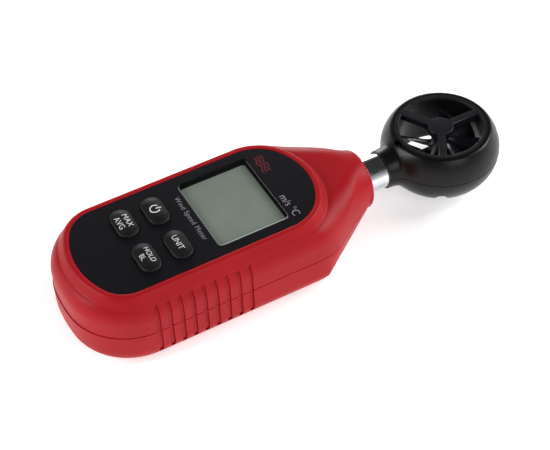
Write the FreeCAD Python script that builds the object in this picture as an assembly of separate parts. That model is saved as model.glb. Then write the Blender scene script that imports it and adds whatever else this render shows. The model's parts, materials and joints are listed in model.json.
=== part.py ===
import FreeCAD, Part
import math
import os
from FreeCAD import Vector

# Hand-held vane anemometer, millimetres.  It lies on its back: +Y points from the
# battery end (the tail) to the vane head, +Z is the display side, and the origin is
# under the middle of the whole instrument, on the plane it rests on.
# A "station" is a distance from the tail end; st() turns it into a Y value.

# ---- driving dimensions --------------------------------------------------------
LENGTH = 160.0            # overall, tail end to head end
WIDTH = 50.0              # case width at the parting plane
CASE_TOP = 25.4           # shoulder of the case beside the display panel
PANEL_TOP = 28.0          # face of the display panel
PARTING_Z = 13.5          # plane where the two case halves meet
AXIS_Z = 14.0             # height of the neck and head centre line
WALL = 1.9                # case wall
CLEAR = 0.15              # sliding clearance between moulded pieces

HEAD_R = 20.2             # head radius at its parting plane
HEAD_HALF = 8.9           # half the thickness of the head
HEAD_FACE_R = 16.85       # edge of the flat face of the head
DUCT_R = 14.2             # bore the air blows through
DUCT_WALL = 1.2
HEAD_REACH = 23.6         # head centre to the open end of its collar
TUBE_SHOWING = 7.9        # bare tube between collar and case
TUBE_R = 6.0
TUBE_WALL = 1.5
NECK_R = 10.0             # round end of the case
NECK_END_ROUND = 1.5
COLLAR_LENGTH = 2.1       # straight part of that round end
NECK_TAPER = 29.1         # end of the straight sides to the end of the case
SHOULDER_R = 20.0          # plan radius of the shoulder
SHOULDER_LEAD = 3.5       # straight sides to the corner that SHOULDER_R rounds
END_OVERRUN = 4.0         # the block runs past the neck end before it is trimmed
TAIL_END_R = 60.0
TAIL_CORNER_R = 21.4
BOTTOM_ROUND = 6.5
TOP_ROUND = 4.0

PANEL_HALF = 19.1         # half width of the display panel
PANEL_THICK = 0.8
PANEL_FROM_TAIL = 7.1
PANEL_FROM_NECK = 20.6
PANEL_TAIL_R = 28.3
PANEL_TAIL_CORNER = 10.5
PANEL_HEAD_R = 23.4
PANEL_HEAD_CORNER = 14.5
RIM = 2.0                 # raised rim round the panel
RIM_ROUND = 0.7
SEAT = 2.0                # case wall under the panel

WINDOW_WIDTH = 31.0
WINDOW_LENGTH = 25.3
WINDOW_FROM_PANEL_END = 14.0
WINDOW_CORNER = 1.8
WINDOW_THICK = 1.2
WINDOW_SUNK = 0.1         # window face below the panel face
WINDOW_LEDGE = 0.9
LCD_THICK = 2.4
LCD_GAP = 1.5             # window to liquid-crystal glass

KEY_LENGTH = 12.7
KEY_WIDTH = 7.1
KEY_PROUD = 1.4
KEY_FLANGE = 1.1
KEY_FLANGE_THICK = 1.4
KEY_SPACE_X = 3.9         # between neighbouring keys
KEY_SPACE_Y = 3.7
KEY_FROM_WINDOW = 7.05    # window edge to the near side of the first row
KEY_STROKE = 0.6
KEY_GAP = 0.2             # left under a key pressed home

BOARD_ABOVE_BAY = 2.1
BOARD_THICK = 1.6
BOARD_HALF = 16.0
BOARD_FROM_TAIL = 12.0

CELL_R = 5.25             # AAA cell
CELL_LENGTH = 44.5
CELL_NUB = 0.9
CELL_NUB_R = 1.9
CELL_GAP = 0.4            # between neighbouring cells
CELL_COUNT = 3
CELL_ABOVE_DOOR = 0.55
SPRING_LENGTH = 4.6
SPRING_WIRE = 0.35
PLATE_THICK = 0.4
BAY_FROM_TAIL = 9.4
BAY_WALL = 1.5
BAY_CEILING = 1.2
BAY_BOTTOM = 3.2          # lower edge of the bay walls, above the door rails

DOOR_BESIDE_BAY = 0.5
DOOR_TAIL_LIP = 4.5       # height of the door where it wraps round the tail
DOOR_TRAVEL = 8.0
RAIL_THICK = 0.9
RAIL_REACH = 0.6
TONGUE_HALF = 2.0         # half width of the front tongues, which pass between the cells
GRIP_COUNT = 5             # finger grooves across the door
GRIP_PITCH = 2.2
GRIP_WIDTH = 1.1
GRIP_LENGTH = 16.0
GRIP_DEPTH = 0.5
GRIP_FROM_EDGE = 7.0

SEAM_DEPTH = 0.3          # fine joint line that both halves leave at the parting plane
SEAM_HEIGHT = 0.3
GROOVE_COUNT = 9
GROOVE_PITCH = 3.98
GROOVE_WIDTH = 1.45
GROOVE_DEPTH = 0.6
GROOVE_FIRST = 22.0       # station of the groove nearest the tail
GROOVE_LOW = 3.7
GROOVE_HIGH = 24.6

BOSS_R = 2.5
SCREW_R = 1.1
SCREW_HEAD_R = 2.1
SCREW_HEAD = 1.6
SCREW_SEAT_Z = 7.0        # bearing face under the case screw heads
SCREW_TIP_Z = 20.0
SCREW_BESIDE_BAY = 0.2     # boss to the wall of the battery bay
SCREW_STATION_TAIL = 24.0
SCREW_FROM_SHOULDER = 9.6

GUARD_RING = 1.4          # radial width of the guard ring
GUARD_RING_THICK = 1.2
GUARD_DEPTH = 2.5
SPOKE_WIDTH = 2.6
SPOKE_ANGLES = (-30.0, 90.0, 210.0)
GUARD_ROUND = 0.3
HUB_R = 4.3
BEARING_R = 1.6
BEARING_LENGTH = 1.8
SHAFT_R = 0.5
SHAFT_CLEAR = 0.03
ROTOR_HUB_R = 3.0
ROTOR_END_GAP = 0.7
BLADE_COUNT = 8
BLADE_CHORD = 8.0
BLADE_THICK = 0.7
BLADE_PITCH = 45.0
BLADE_TIP_GAP = 0.8
HEAD_SCREW_AT = 16.9
HEAD_SCREW_R = 0.8
HEAD_SCREW_HEAD_R = 1.5
HEAD_SCREW_HEAD = 1.2
HEAD_SCREW_SEAT = 3.6     # depth of the counterbore from the back of the head
SLOT_WIDTH = 3.5          # thermistor slot in the head
SLOT_DEEP = 1.9
COLLAR_TUBE_DEPTH = 5.3   # how far the tube enters the head collar
LEAD_R = 1.1

# ---- places worked out from them -----------------------------------------------


def st(station):
    """Y of a station measured from the tail end."""
    return station - LENGTH / 2


HEAD_Y = st(LENGTH - HEAD_R)
COLLAR_Y = HEAD_Y - HEAD_REACH
NECK_Y = COLLAR_Y - TUBE_SHOWING
SHOULDER_Y = NECK_Y - NECK_TAPER
TAIL_Y = st(0)
PANEL_TAIL_Y = st(PANEL_FROM_TAIL)
PANEL_HEAD_Y = NECK_Y - PANEL_FROM_NECK
SEAT_TOP = PANEL_TOP - PANEL_THICK
SEAT_BOTTOM = SEAT_TOP - SEAT
WINDOW_HEAD_Y = PANEL_HEAD_Y - WINDOW_FROM_PANEL_END
WINDOW_TAIL_Y = WINDOW_HEAD_Y - WINDOW_LENGTH
WINDOW_TOP = PANEL_TOP - WINDOW_SUNK
WINDOW_BOTTOM = WINDOW_TOP - WINDOW_THICK
LCD_TOP = WINDOW_BOTTOM - LCD_GAP
LCD_BOTTOM = LCD_TOP - LCD_THICK
KEY_PITCH_X = KEY_LENGTH + KEY_SPACE_X
KEY_PITCH_Y = KEY_WIDTH + KEY_SPACE_Y
KEY_FIRST_Y = WINDOW_TAIL_Y - KEY_FROM_WINDOW - KEY_WIDTH / 2
KEY_ROWS = (KEY_FIRST_Y, KEY_FIRST_Y - KEY_PITCH_Y)
KEY_PLACES = {
    "power_button": (-KEY_PITCH_X / 2, KEY_ROWS[0]),
    "unit_button": (KEY_PITCH_X / 2, KEY_ROWS[0]),
    "max_avg_button": (-KEY_PITCH_X / 2, KEY_ROWS[1]),
    "hold_button": (KEY_PITCH_X / 2, KEY_ROWS[1]),
}
KEY_TOP = PANEL_TOP + KEY_PROUD
FLANGE_TOP = SEAT_BOTTOM - CLEAR
FLANGE_BOTTOM = FLANGE_TOP - KEY_FLANGE_THICK
BOARD_TAIL_Y = st(BOARD_FROM_TAIL)
BOARD_HEAD_Y = PANEL_HEAD_Y - 2.0
NECK_BLOCK_Y = NECK_Y - 10.3
FLANGE_Y = NECK_BLOCK_Y + 1.4
TUBE_FLANGE = 2.0
TUBE_FLANGE_R = TUBE_R + 2.0
TUBE_START_Y = NECK_BLOCK_Y - 0.8
TUBE_END_Y = COLLAR_Y + COLLAR_TUBE_DEPTH
TUBE_GROOVE_Y = COLLAR_Y + 2.0
TUBE_GROOVE = 1.0
TUBE_GROOVE_DEPTH = 0.6
BORE_GAP = 0.05
BAY_TAIL_Y = st(BAY_FROM_TAIL)
BAY_LENGTH = CELL_LENGTH + SPRING_LENGTH + 2 * PLATE_THICK
BAY_HEAD_Y = BAY_TAIL_Y + BAY_LENGTH
CELL_PITCH = 2 * CELL_R + CELL_GAP
CELL_Z = WALL + CELL_ABOVE_DOOR + CELL_R
BAY_HALF = (CELL_COUNT - 1) / 2 * CELL_PITCH + CELL_R + 0.35
BAY_TOP = CELL_Z + CELL_R + 0.15
BAY_ROOF = BAY_TOP + BAY_CEILING
DOOR_HALF = BAY_HALF + DOOR_BESIDE_BAY
BOARD_Z = BAY_ROOF + BOARD_ABOVE_BAY
BOARD_TOP = BOARD_Z + BOARD_THICK
DOOR_HEAD_Y = BAY_HEAD_Y + 2.4
SCREW_X = BAY_HALF + BAY_WALL + BOSS_R + SCREW_BESIDE_BAY
SCREW_PLACES = [(side * SCREW_X, y) for side in (-1, 1)
                for y in (st(SCREW_STATION_TAIL), SHOULDER_Y - SCREW_FROM_SHOULDER)]
HEAD_TOP = AXIS_Z + HEAD_HALF
HEAD_BOTTOM = AXIS_Z - HEAD_HALF
GUARD_R = DUCT_R + GUARD_RING
SLOT_Y = HEAD_Y - GUARD_R - 0.2
ROTOR_TOP = HEAD_TOP - GUARD_DEPTH - ROTOR_END_GAP
ROTOR_BOTTOM = HEAD_BOTTOM + GUARD_DEPTH + ROTOR_END_GAP
HEAD_BOARD_Y = TUBE_END_Y + 0.6
HEAD_BOARD_THICK = 1.0
HEAD_BOARD_HALF = 4.5
HEAD_BOARD_RISE = 5.0
PLUG_LENGTH = 5.0
PLUG_Z = 2.0


# ---- small shape helpers -------------------------------------------------------

def box(x0, x1, y0, y1, z0, z1):
    return Part.makeBox(x1 - x0, y1 - y0, z1 - z0, Vector(x0, y0, z0))


def rod_z(radius, x, y, z0, z1):
    return Part.makeCylinder(radius, z1 - z0, Vector(x, y, z0), Vector(0, 0, 1))


def rod_y(radius, y0, y1, x=0.0, z=AXIS_Z):
    return Part.makeCylinder(radius, y1 - y0, Vector(x, y0, z), Vector(0, 1, 0))


def joined(shapes):
    result = shapes[0]
    if len(shapes) > 1:
        result = shapes[0].multiFuse(shapes[1:])
    return result.removeSplitter()


def minus(shape, tools):
    return shape.cut(tools[0] if len(tools) == 1 else Part.makeCompound(tools))


def prism(face, z0, z1):
    """Plan face swept from z0 up to z1."""
    lifted = face.copy()
    lifted.translate(Vector(0, 0, z0))
    return lifted.extrude(Vector(0, 0, z1 - z0))


def obround(length, width, x, y, z0, z1):
    """Slot-shaped block, long along X, with half-round ends."""
    straight = (length - width) / 2
    body = box(x - straight, x + straight, y - width / 2, y + width / 2, z0, z1)
    return joined([body, rod_z(width / 2, x - straight, y, z0, z1),
                   rod_z(width / 2, x + straight, y, z0, z1)])


def rounded_block(x_half, y0, y1, z0, z1, corner):
    block = box(-x_half, x_half, y0, y1, z0, z1)
    upright = [e for e in block.Edges if abs(e.BoundBox.ZLength - (z1 - z0)) < 1e-6]
    return block.makeFillet(corner, upright)


def ring_z(inner, outer, z0, z1, x=0.0, y=0.0):
    return rod_z(outer, x, y, z0, z1).cut(rod_z(inner, x, y, z0, z1))


def end_arcs(half, y_end, end_r, corner_r, toward_tail):
    """Edges of a crowned end: a large arc blended into the sides by two corner arcs.

    The corner circles touch the end circle from inside and the side lines, so
    everything is tangent.  Returned from the -X side to the +X side."""
    away = -1.0 if toward_tail else 1.0
    rise = math.sqrt((end_r - corner_r) ** 2 - (half - corner_r) ** 2)
    centre_y = y_end - away * end_r
    corner_y = centre_y + away * rise
    scale = end_r / (end_r - corner_r)
    meet = Vector((half - corner_r) * scale, centre_y + away * rise * scale, 0)
    side = Vector(half, corner_y, 0)
    lean = math.atan2(rise, half - corner_r) / 2
    mid = Vector(half - corner_r + corner_r * math.cos(lean),
                 corner_y + away * corner_r * math.sin(lean), 0)

    def mirrored(p):
        return Vector(-p.x, p.y, 0)

    return [Part.Arc(mirrored(side), mirrored(mid), mirrored(meet)).toShape(),
            Part.Arc(mirrored(meet), Vector(0, y_end, 0), meet).toShape(),
            Part.Arc(meet, mid, side).toShape()], side


def panel_plan(grow=0.0):
    """Outline of the display panel, grown outwards by grow."""
    half = PANEL_HALF + grow
    tail, low = end_arcs(half, PANEL_TAIL_Y - grow, PANEL_TAIL_R + grow,
                         PANEL_TAIL_CORNER + grow, True)
    head, high = end_arcs(half, PANEL_HEAD_Y + grow, PANEL_HEAD_R + grow,
                          PANEL_HEAD_CORNER + grow, False)
    sides = [Part.makeLine(low, high), Part.makeLine(Vector(-low.x, low.y, 0), Vector(-high.x, high.y, 0))]
    return Part.Face(Part.Wire(Part.__sortEdges__(tail + head + sides)))


def bend(before, corner, after, radius):
    """Tangent arc of the given radius at a corner: its start, the arc and its end."""
    u = (corner - before).normalize()
    v = (after - corner).normalize()
    half_turn = math.acos(max(-1.0, min(1.0, u.dot(v)))) / 2
    back = radius * math.tan(half_turn)
    start = corner - u * back
    finish = corner + v * back
    inward = (v - u).normalize()
    middle = corner + inward * (radius / math.cos(half_turn) - radius)
    return start, Part.Arc(start, middle, finish).toShape(), finish


def case_block(inset):
    """The outer form of the closed case, or the same form inset on every side.

    A round-tailed block with rounded edges is trimmed by a cone about the neck
    axis, which makes the tapering neck and its round end."""
    half = WIDTH / 2 - inset
    right, low = end_arcs(half, TAIL_Y + inset, TAIL_END_R - inset, TAIL_CORNER_R - inset, True)
    end_y = NECK_Y + END_OVERRUN
    corner = Vector(half, SHOULDER_Y + SHOULDER_LEAD, 0)
    tip = Vector(NECK_R + 2.0 - inset, end_y, 0)
    start, arc, finish = bend(low, corner, tip, SHOULDER_R)
    flank = [Part.makeLine(low, start), arc, Part.makeLine(finish, tip)]
    mirrored = [e.mirror(Vector(0, 0, 0), Vector(1, 0, 0)) for e in flank]
    end_line = Part.makeLine(tip, Vector(-tip.x, tip.y, 0))
    plan = Part.Face(Part.Wire(Part.__sortEdges__(right + flank + mirrored + [end_line])))
    block = prism(plan, inset, CASE_TOP - inset)

    def rim_edges(z):
        return [e for e in block.Edges
                if abs(e.BoundBox.ZMin - z) < 1e-6 and abs(e.BoundBox.ZMax - z) < 1e-6
                and e.BoundBox.YMin < end_y - 0.01]

    block = block.makeFillet(BOTTOM_ROUND - inset, rim_edges(inset))
    block = block.makeFillet(TOP_ROUND - inset, rim_edges(CASE_TOP - inset))
    return block.common(neck_cone(inset))


def neck_cone(inset):
    """Trimming body about the neck axis: straight collar, then a cone opening to the case."""
    steep = (WIDTH / 2 - NECK_R) / (NECK_TAPER - COLLAR_LENGTH - SHOULDER_LEAD * 1.4)
    skew = inset * math.sqrt(1 + steep ** 2)
    far = LENGTH
    cone_start = NECK_Y - COLLAR_LENGTH
    wide = NECK_R - skew + steep * far
    far_y = cone_start - far - (skew - inset) / steep
    points = [Vector(NECK_R - inset, cone_start, AXIS_Z), Vector(wide, far_y, AXIS_Z),
              Vector(0, far_y, AXIS_Z), Vector(0, NECK_Y, AXIS_Z)]
    radius = NECK_END_ROUND - inset
    if radius > 0.1:
        centre = Vector(NECK_R - NECK_END_ROUND, NECK_Y - NECK_END_ROUND, AXIS_Z)
        start = centre + Vector(0, radius, 0)
        side = centre + Vector(radius, 0, 0)
        middle = centre + Vector(radius, radius, 0) * math.sqrt(0.5)
        points.append(Vector(start.x, NECK_Y, AXIS_Z))
        if inset > 0:
            points.append(start)
        rounding = [Part.Arc(start, middle, side).toShape(), Part.makeLine(side, points[0])]
    else:
        points.append(Vector(NECK_R - inset, NECK_Y, AXIS_Z))
        rounding = [Part.makeLine(points[-1], points[0])]
    edges = Part.makePolygon(points).Edges + rounding
    profile = Part.Face(Part.Wire(Part.__sortEdges__(edges)))
    return profile.revolve(Vector(0, 0, AXIS_Z), Vector(0, 1, 0), 360)


# ---- the case ------------------------------------------------------------------

def grip_grooves():
    """Shallow upright slots down both flanks, all of one depth."""
    skin = OUTER.cut(case_block(GROOVE_DEPTH))
    slots = []
    for i in range(GROOVE_COUNT):
        y = st(GROOVE_FIRST + i * GROOVE_PITCH)
        for x0, x1 in ((-WIDTH, -WIDTH / 2 + TOP_ROUND + 3), (WIDTH / 2 - TOP_ROUND - 3, WIDTH)):
            r = GROOVE_WIDTH / 2
            middle = box(x0, x1, y - r, y + r, GROOVE_LOW + r, GROOVE_HIGH - r)
            ends = [Part.makeCylinder(r, x1 - x0, Vector(x0, y, z), Vector(1, 0, 0))
                    for z in (GROOVE_LOW + r, GROOVE_HIGH - r)]
            slots.append(joined([middle] + ends).common(skin))
    return slots


def seam():
    """Fine recess all round the outside, half of its height in each case half."""
    band = box(-WIDTH, WIDTH, -LENGTH, LENGTH, PARTING_Z - SEAM_HEIGHT / 2, PARTING_Z + SEAM_HEIGHT / 2)
    return OUTER.cut(case_block(SEAM_DEPTH)).common(band)


def neck_bore():
    """Space for the tube and its flange in the neck of the case."""
    return joined([rod_y(TUBE_R + BORE_GAP, NECK_BLOCK_Y - 1, NECK_Y + 1),
                   rod_y(TUBE_FLANGE_R + CLEAR, FLANGE_Y - CLEAR, FLANGE_Y + TUBE_FLANGE + CLEAR)])


def upper_case():
    """Display-side half: rim, panel seat, window opening, key holes and screw bosses."""
    rim = prism(panel_plan(RIM), CASE_TOP - 4, PANEL_TOP)
    top = [e for e in rim.Edges if e.BoundBox.ZMin > PANEL_TOP - 1e-6]
    rim = rim.makeFillet(RIM_ROUND, top)
    above = box(-WIDTH, WIDTH, -LENGTH, LENGTH, PARTING_Z, PANEL_TOP + 1)
    shell = joined([OUTER, rim]).common(above)
    hollow = [CAVITY, prism(panel_plan(-RIM), CASE_TOP - WALL - 0.5, SEAT_BOTTOM)]
    shell = minus(shell, hollow)
    bosses = [rod_z(BOSS_R, x, y, PARTING_Z, CASE_TOP - 1) for x, y in SCREW_PLACES]
    shell = joined([shell] + bosses)
    half = WINDOW_WIDTH / 2
    cuts = [prism(panel_plan(), SEAT_TOP, PANEL_TOP + 1),
            rounded_block(half, WINDOW_TAIL_Y, WINDOW_HEAD_Y, WINDOW_BOTTOM, PANEL_TOP, WINDOW_CORNER),
            rounded_block(half - WINDOW_LEDGE, WINDOW_TAIL_Y + WINDOW_LEDGE,
                          WINDOW_HEAD_Y - WINDOW_LEDGE, SEAT_BOTTOM - 1, PANEL_TOP, WINDOW_CORNER),
            neck_bore()]
    cuts += [key_hole(x, y, SEAT_BOTTOM - 1, PANEL_TOP) for x, y in KEY_PLACES.values()]
    cuts += [rod_z(SCREW_R + 0.02, x, y, PARTING_Z - 1, SCREW_TIP_Z + 1) for x, y in SCREW_PLACES]
    return minus(shell, cuts + GROOVES + [SEAM])


def key_hole(x, y, z0, z1):
    return obround(KEY_LENGTH + 2 * CLEAR, KEY_WIDTH + 2 * CLEAR, x, y, z0, z1)


def battery_bay():
    """Walls and ceiling of the battery space, with ribs out to the case sides."""
    half = BAY_HALF + BAY_WALL
    y0 = BAY_TAIL_Y - BAY_WALL
    y1 = BAY_HEAD_Y + BAY_WALL
    top = BAY_ROOF
    shell = box(-half, half, y0, y1, BAY_BOTTOM, top)
    shell = shell.cut(box(-BAY_HALF, BAY_HALF, BAY_TAIL_Y, BAY_HEAD_Y, BAY_BOTTOM - 1, BAY_TOP))
    ribs = [box(-WIDTH / 2 + 1, WIDTH / 2 - 1, y, y + 1.2, BAY_BOTTOM, PARTING_Z)
            for y in (BAY_TAIL_Y + 24, BAY_HEAD_Y - 4)]
    ribs = [r.cut(box(-BAY_HALF, BAY_HALF, BAY_TAIL_Y, BAY_HEAD_Y, BAY_BOTTOM - 1, BAY_TOP))
            for r in ribs]
    pads = [rod_z(2.0, x, y, top - 0.2, BOARD_Z)
            for x in (-BOARD_HALF + 3, BOARD_HALF - 3) for y in (BAY_TAIL_Y + 8, BAY_HEAD_Y - 6)]
    posts = [rod_z(1.8, x, BOARD_HEAD_Y - 4, WALL - 0.5, BOARD_Z) for x in (-BOARD_HALF + 6, BOARD_HALF - 6)]
    bay = joined([shell] + ribs + pads + posts)
    low = bay.common(case_block(WALL / 2)).common(box(-WIDTH, WIDTH, -LENGTH, LENGTH, 0, PARTING_Z))
    high = bay.common(case_block(WALL + CLEAR))
    high = minus(high, [rod_z(BOSS_R + CLEAR, x, y, PARTING_Z, CASE_TOP) for x, y in SCREW_PLACES])
    return joined([low, high])


def lower_case():
    """Back half: battery bay, door opening, screw counterbores."""
    below = box(-WIDTH, WIDTH, -LENGTH, LENGTH, -1, PARTING_Z)
    shell = OUTER.common(below).cut(CAVITY)
    half = DOOR_HALF + CLEAR
    head_y = DOOR_HEAD_Y + CLEAR
    opening = box(-half, half, TAIL_Y - 1, head_y, -1, DOOR_TAIL_LIP + CLEAR)
    shell = shell.cut(opening)
    bosses = [rod_z(BOSS_R, x, y, 0, PARTING_Z).common(OUTER) for x, y in SCREW_PLACES]
    shell = joined([shell, battery_bay()] + bosses)
    cuts = [neck_bore(), opening.cut(case_block(WALL + CLEAR))]
    cuts += [rod_z(SCREW_HEAD_R + CLEAR, x, y, -1, SCREW_SEAT_Z) for x, y in SCREW_PLACES]
    cuts += [rod_z(SCREW_R + CLEAR, x, y, -1, PARTING_Z + 1) for x, y in SCREW_PLACES]
    return minus(shell, cuts + GROOVES + [SEAM])


def battery_door():
    """Sliding cover of the back, wrapped round the tail, with rails and a front tongue."""
    skin = OUTER.cut(case_block(WALL - 0.1))
    skin = skin.common(box(-DOOR_HALF, DOOR_HALF, TAIL_Y - 1, DOOR_HEAD_Y, -1, DOOR_TAIL_LIP))
    z0 = WALL + 0.1
    rail = RAIL_THICK
    reach = DOOR_HALF + CLEAR + RAIL_REACH
    pieces = [skin]
    for side in (-1, 1):
        x_in, x_out = sorted((side * (DOOR_HALF - 1.4), side * reach))
        foot_in, foot_out = sorted((side * (DOOR_HALF - 1.4), side * DOOR_HALF))
        y0 = BAY_TAIL_Y + 14
        y1 = BAY_HEAD_Y - 4
        pieces.append(box(x_in, x_out, y0, y1, z0, z0 + rail))
        pieces.append(box(foot_in, foot_out, y0, y1, WALL - 0.6, z0 + rail))
    for x in (-CELL_PITCH / 2, CELL_PITCH / 2):
        low, high = x - TONGUE_HALF, x + TONGUE_HALF
        pieces.append(box(low, high, DOOR_HEAD_Y - 2, DOOR_HEAD_Y + 1.2, z0, z0 + rail))
        pieces.append(box(low, high, DOOR_HEAD_Y - 2, DOOR_HEAD_Y, WALL - 0.6, z0 + rail))
    grips = [obround(GRIP_LENGTH, GRIP_WIDTH, 0, DOOR_HEAD_Y - GRIP_FROM_EDGE - i * GRIP_PITCH, -1, GRIP_DEPTH)
             for i in range(GRIP_COUNT)]
    return minus(joined(pieces), grips)


def front_panel():
    """Flat overlay inside the rim, open at the window and the keys."""
    edge = 0.1
    plate = prism(panel_plan(-edge), SEAT_TOP, PANEL_TOP)
    half = WINDOW_WIDTH / 2
    window = rounded_block(half, WINDOW_TAIL_Y, WINDOW_HEAD_Y, SEAT_TOP - 1, PANEL_TOP + 1, WINDOW_CORNER)
    keys = [key_hole(x, y, SEAT_TOP - 1, PANEL_TOP + 1) for x, y in KEY_PLACES.values()]
    return minus(plate, [window] + keys)


def display_window():
    """Clear lens on its ledge, bevelled along the upper edges."""
    gap = 0.1
    lens = rounded_block(WINDOW_WIDTH / 2 - gap, WINDOW_TAIL_Y + gap, WINDOW_HEAD_Y - gap,
                         WINDOW_BOTTOM, WINDOW_TOP, WINDOW_CORNER - gap)
    top = [e for e in lens.Edges if e.BoundBox.ZMin > WINDOW_TOP - 1e-6]
    return lens.makeChamfer(0.4, top)


# ---- electronics ---------------------------------------------------------------

def lcd_glass():
    """Two glass plates of the display, the lower one longer by its contact ledge."""
    half = BOARD_HALF - 0.4
    y1 = WINDOW_HEAD_Y + 1.0
    y0 = WINDOW_TAIL_Y - 0.6
    mid = LCD_BOTTOM + LCD_THICK / 2
    return joined([box(-half, half, y0 - 2.2, y1, LCD_BOTTOM, mid), box(-half, half, y0, y1, mid, LCD_TOP)])


def lcd_backlight():
    return box(-BOARD_HALF + 1, BOARD_HALF - 1, WINDOW_TAIL_Y + 0.4, WINDOW_HEAD_Y, BOARD_TOP, LCD_BOTTOM)


def zebra_strip():
    """Elastomer strip that joins the glass ledge to the board."""
    y0 = WINDOW_TAIL_Y - 2.4
    return box(-BOARD_HALF + 2, BOARD_HALF - 2, y0, y0 + 1.8, BOARD_TOP, LCD_BOTTOM)


def circuit_board():
    plate = box(-BOARD_HALF, BOARD_HALF, BOARD_TAIL_Y, BOARD_HEAD_Y, BOARD_Z, BOARD_TOP)
    corners = [e for e in plate.Edges if abs(e.BoundBox.ZLength - BOARD_THICK) < 1e-6]
    return plate.makeFillet(3.0, corners)


def microcontroller():
    half = 5.0
    y = (KEY_ROWS[0] + WINDOW_TAIL_Y) / 2
    return box(-half, half, y - half, y + half, BOARD_Z - 1.5, BOARD_Z)


def key_switches():
    """Four tactile switches, one below each key."""
    stem_end = FLANGE_BOTTOM - KEY_STROKE - KEY_GAP
    half = 3.0
    switches = []
    for x, y in KEY_PLACES.values():
        body = box(x - half, x + half, y - half, y + half, BOARD_TOP, stem_end - 0.8)
        switches.append(joined([body, rod_z(1.7, x, y, stem_end - 0.9, stem_end)]))
    return Part.makeCompound(switches)


def button(x, y):
    """Rubber key: a domed obround through the panel on a wider flange below it."""
    stem = obround(KEY_LENGTH, KEY_WIDTH, x, y, FLANGE_TOP - 0.5, KEY_TOP)
    top = [e for e in stem.Edges if e.BoundBox.ZMin > KEY_TOP - 1e-6]
    stem = stem.makeFillet(0.8, top)
    flange = obround(KEY_LENGTH + 2 * KEY_FLANGE, KEY_WIDTH + 2 * KEY_FLANGE, x, y, FLANGE_BOTTOM, FLANGE_TOP)
    return joined([stem, flange])


# ---- battery -------------------------------------------------------------------

def cell_x(i):
    return (i - (CELL_COUNT - 1) / 2) * CELL_PITCH


def nub_toward_head(i):
    """The cells lie head to tail in series."""
    return i % 2 == 0


def battery(i):
    """One AAA cell with its raised positive end."""
    x = cell_x(i)
    if nub_toward_head(i):
        y0 = BAY_TAIL_Y + PLATE_THICK + SPRING_LENGTH
        nub = rod_y(CELL_NUB_R, y0 + CELL_LENGTH - CELL_NUB, y0 + CELL_LENGTH, x, CELL_Z)
        can = rod_y(CELL_R, y0, y0 + CELL_LENGTH - CELL_NUB, x, CELL_Z)
    else:
        y0 = BAY_TAIL_Y + PLATE_THICK
        nub = rod_y(CELL_NUB_R, y0, y0 + CELL_NUB, x, CELL_Z)
        can = rod_y(CELL_R, y0 + CELL_NUB, y0 + CELL_LENGTH, x, CELL_Z)
    ends = [e for e in can.Edges if e.Curve.TypeId == "Part::GeomCircle"]
    return joined([can.makeFillet(0.4, ends), nub])


def battery_springs():
    """One conical coil at the negative end of each cell."""
    springs = []
    turns = 4
    inner, outer = 1.9, 3.6
    height = SPRING_LENGTH - 2 * SPRING_WIRE
    for i in range(CELL_COUNT):
        lean = math.degrees(math.atan2(inner - outer, height))
        helix = Part.makeHelix(height / turns, height, outer, lean)
        wire = Part.Wire(helix.Edges)
        start = Vector(outer, 0, 0)
        section = Part.Wire(Part.makeCircle(SPRING_WIRE, start, Vector(0, 1, 0)))
        coil = wire.makePipeShell([section], True, True)
        toward_head = nub_toward_head(i)
        coil.rotate(Vector(0, 0, 0), Vector(1, 0, 0), -90 if toward_head else 90)
        y = BAY_TAIL_Y + PLATE_THICK + SPRING_WIRE if toward_head else BAY_HEAD_Y - PLATE_THICK - SPRING_WIRE
        coil.translate(Vector(cell_x(i), y, CELL_Z))
        springs.append(coil)
    return Part.makeCompound(springs)


def battery_plates():
    """Sheet contacts on both end walls of the bay."""
    plates = []
    half = 4.2
    for i in range(CELL_COUNT):
        x = cell_x(i)
        for y0 in (BAY_TAIL_Y, BAY_HEAD_Y - PLATE_THICK):
            plates.append(box(x - half, x + half, y0, y0 + PLATE_THICK, CELL_Z - half, CELL_Z + half))
    return Part.makeCompound(plates)


def screw(x, y, seat_z, tip_z, radius, head_r, head):
    """Pan-head self-tapping screw driven upwards, with a cross recess."""
    body = joined([rod_z(head_r, x, y, seat_z - head, seat_z), rod_z(radius, x, y, seat_z - 0.1, tip_z)])
    arm = head_r * 0.55
    slot = head_r * 0.14
    z0 = seat_z - head - 1
    z1 = seat_z - head * 0.5
    return minus(body, [box(x - arm, x + arm, y - slot, y + slot, z0, z1),
                        box(x - slot, x + slot, y - arm, y + arm, z0, z1)])


def case_screws():
    return Part.makeCompound([screw(x, y, SCREW_SEAT_Z, SCREW_TIP_Z, SCREW_R, SCREW_HEAD_R, SCREW_HEAD)
                              for x, y in SCREW_PLACES])


# ---- neck and head -------------------------------------------------------------

def neck_tube():
    """Plated tube clamped by a flange in the case and by a groove in the head collar."""
    outer = joined([rod_y(TUBE_R, TUBE_START_Y, TUBE_END_Y),
                    rod_y(TUBE_FLANGE_R, FLANGE_Y, FLANGE_Y + TUBE_FLANGE)])
    groove = rod_y(TUBE_R + 1, TUBE_GROOVE_Y, TUBE_GROOVE_Y + TUBE_GROOVE).cut(
        rod_y(TUBE_R - TUBE_GROOVE_DEPTH, TUBE_GROOVE_Y, TUBE_GROOVE_Y + TUBE_GROOVE))
    return minus(outer, [groove, rod_y(TUBE_R - TUBE_WALL, TUBE_START_Y - 1, TUBE_END_Y + 1)])


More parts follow.
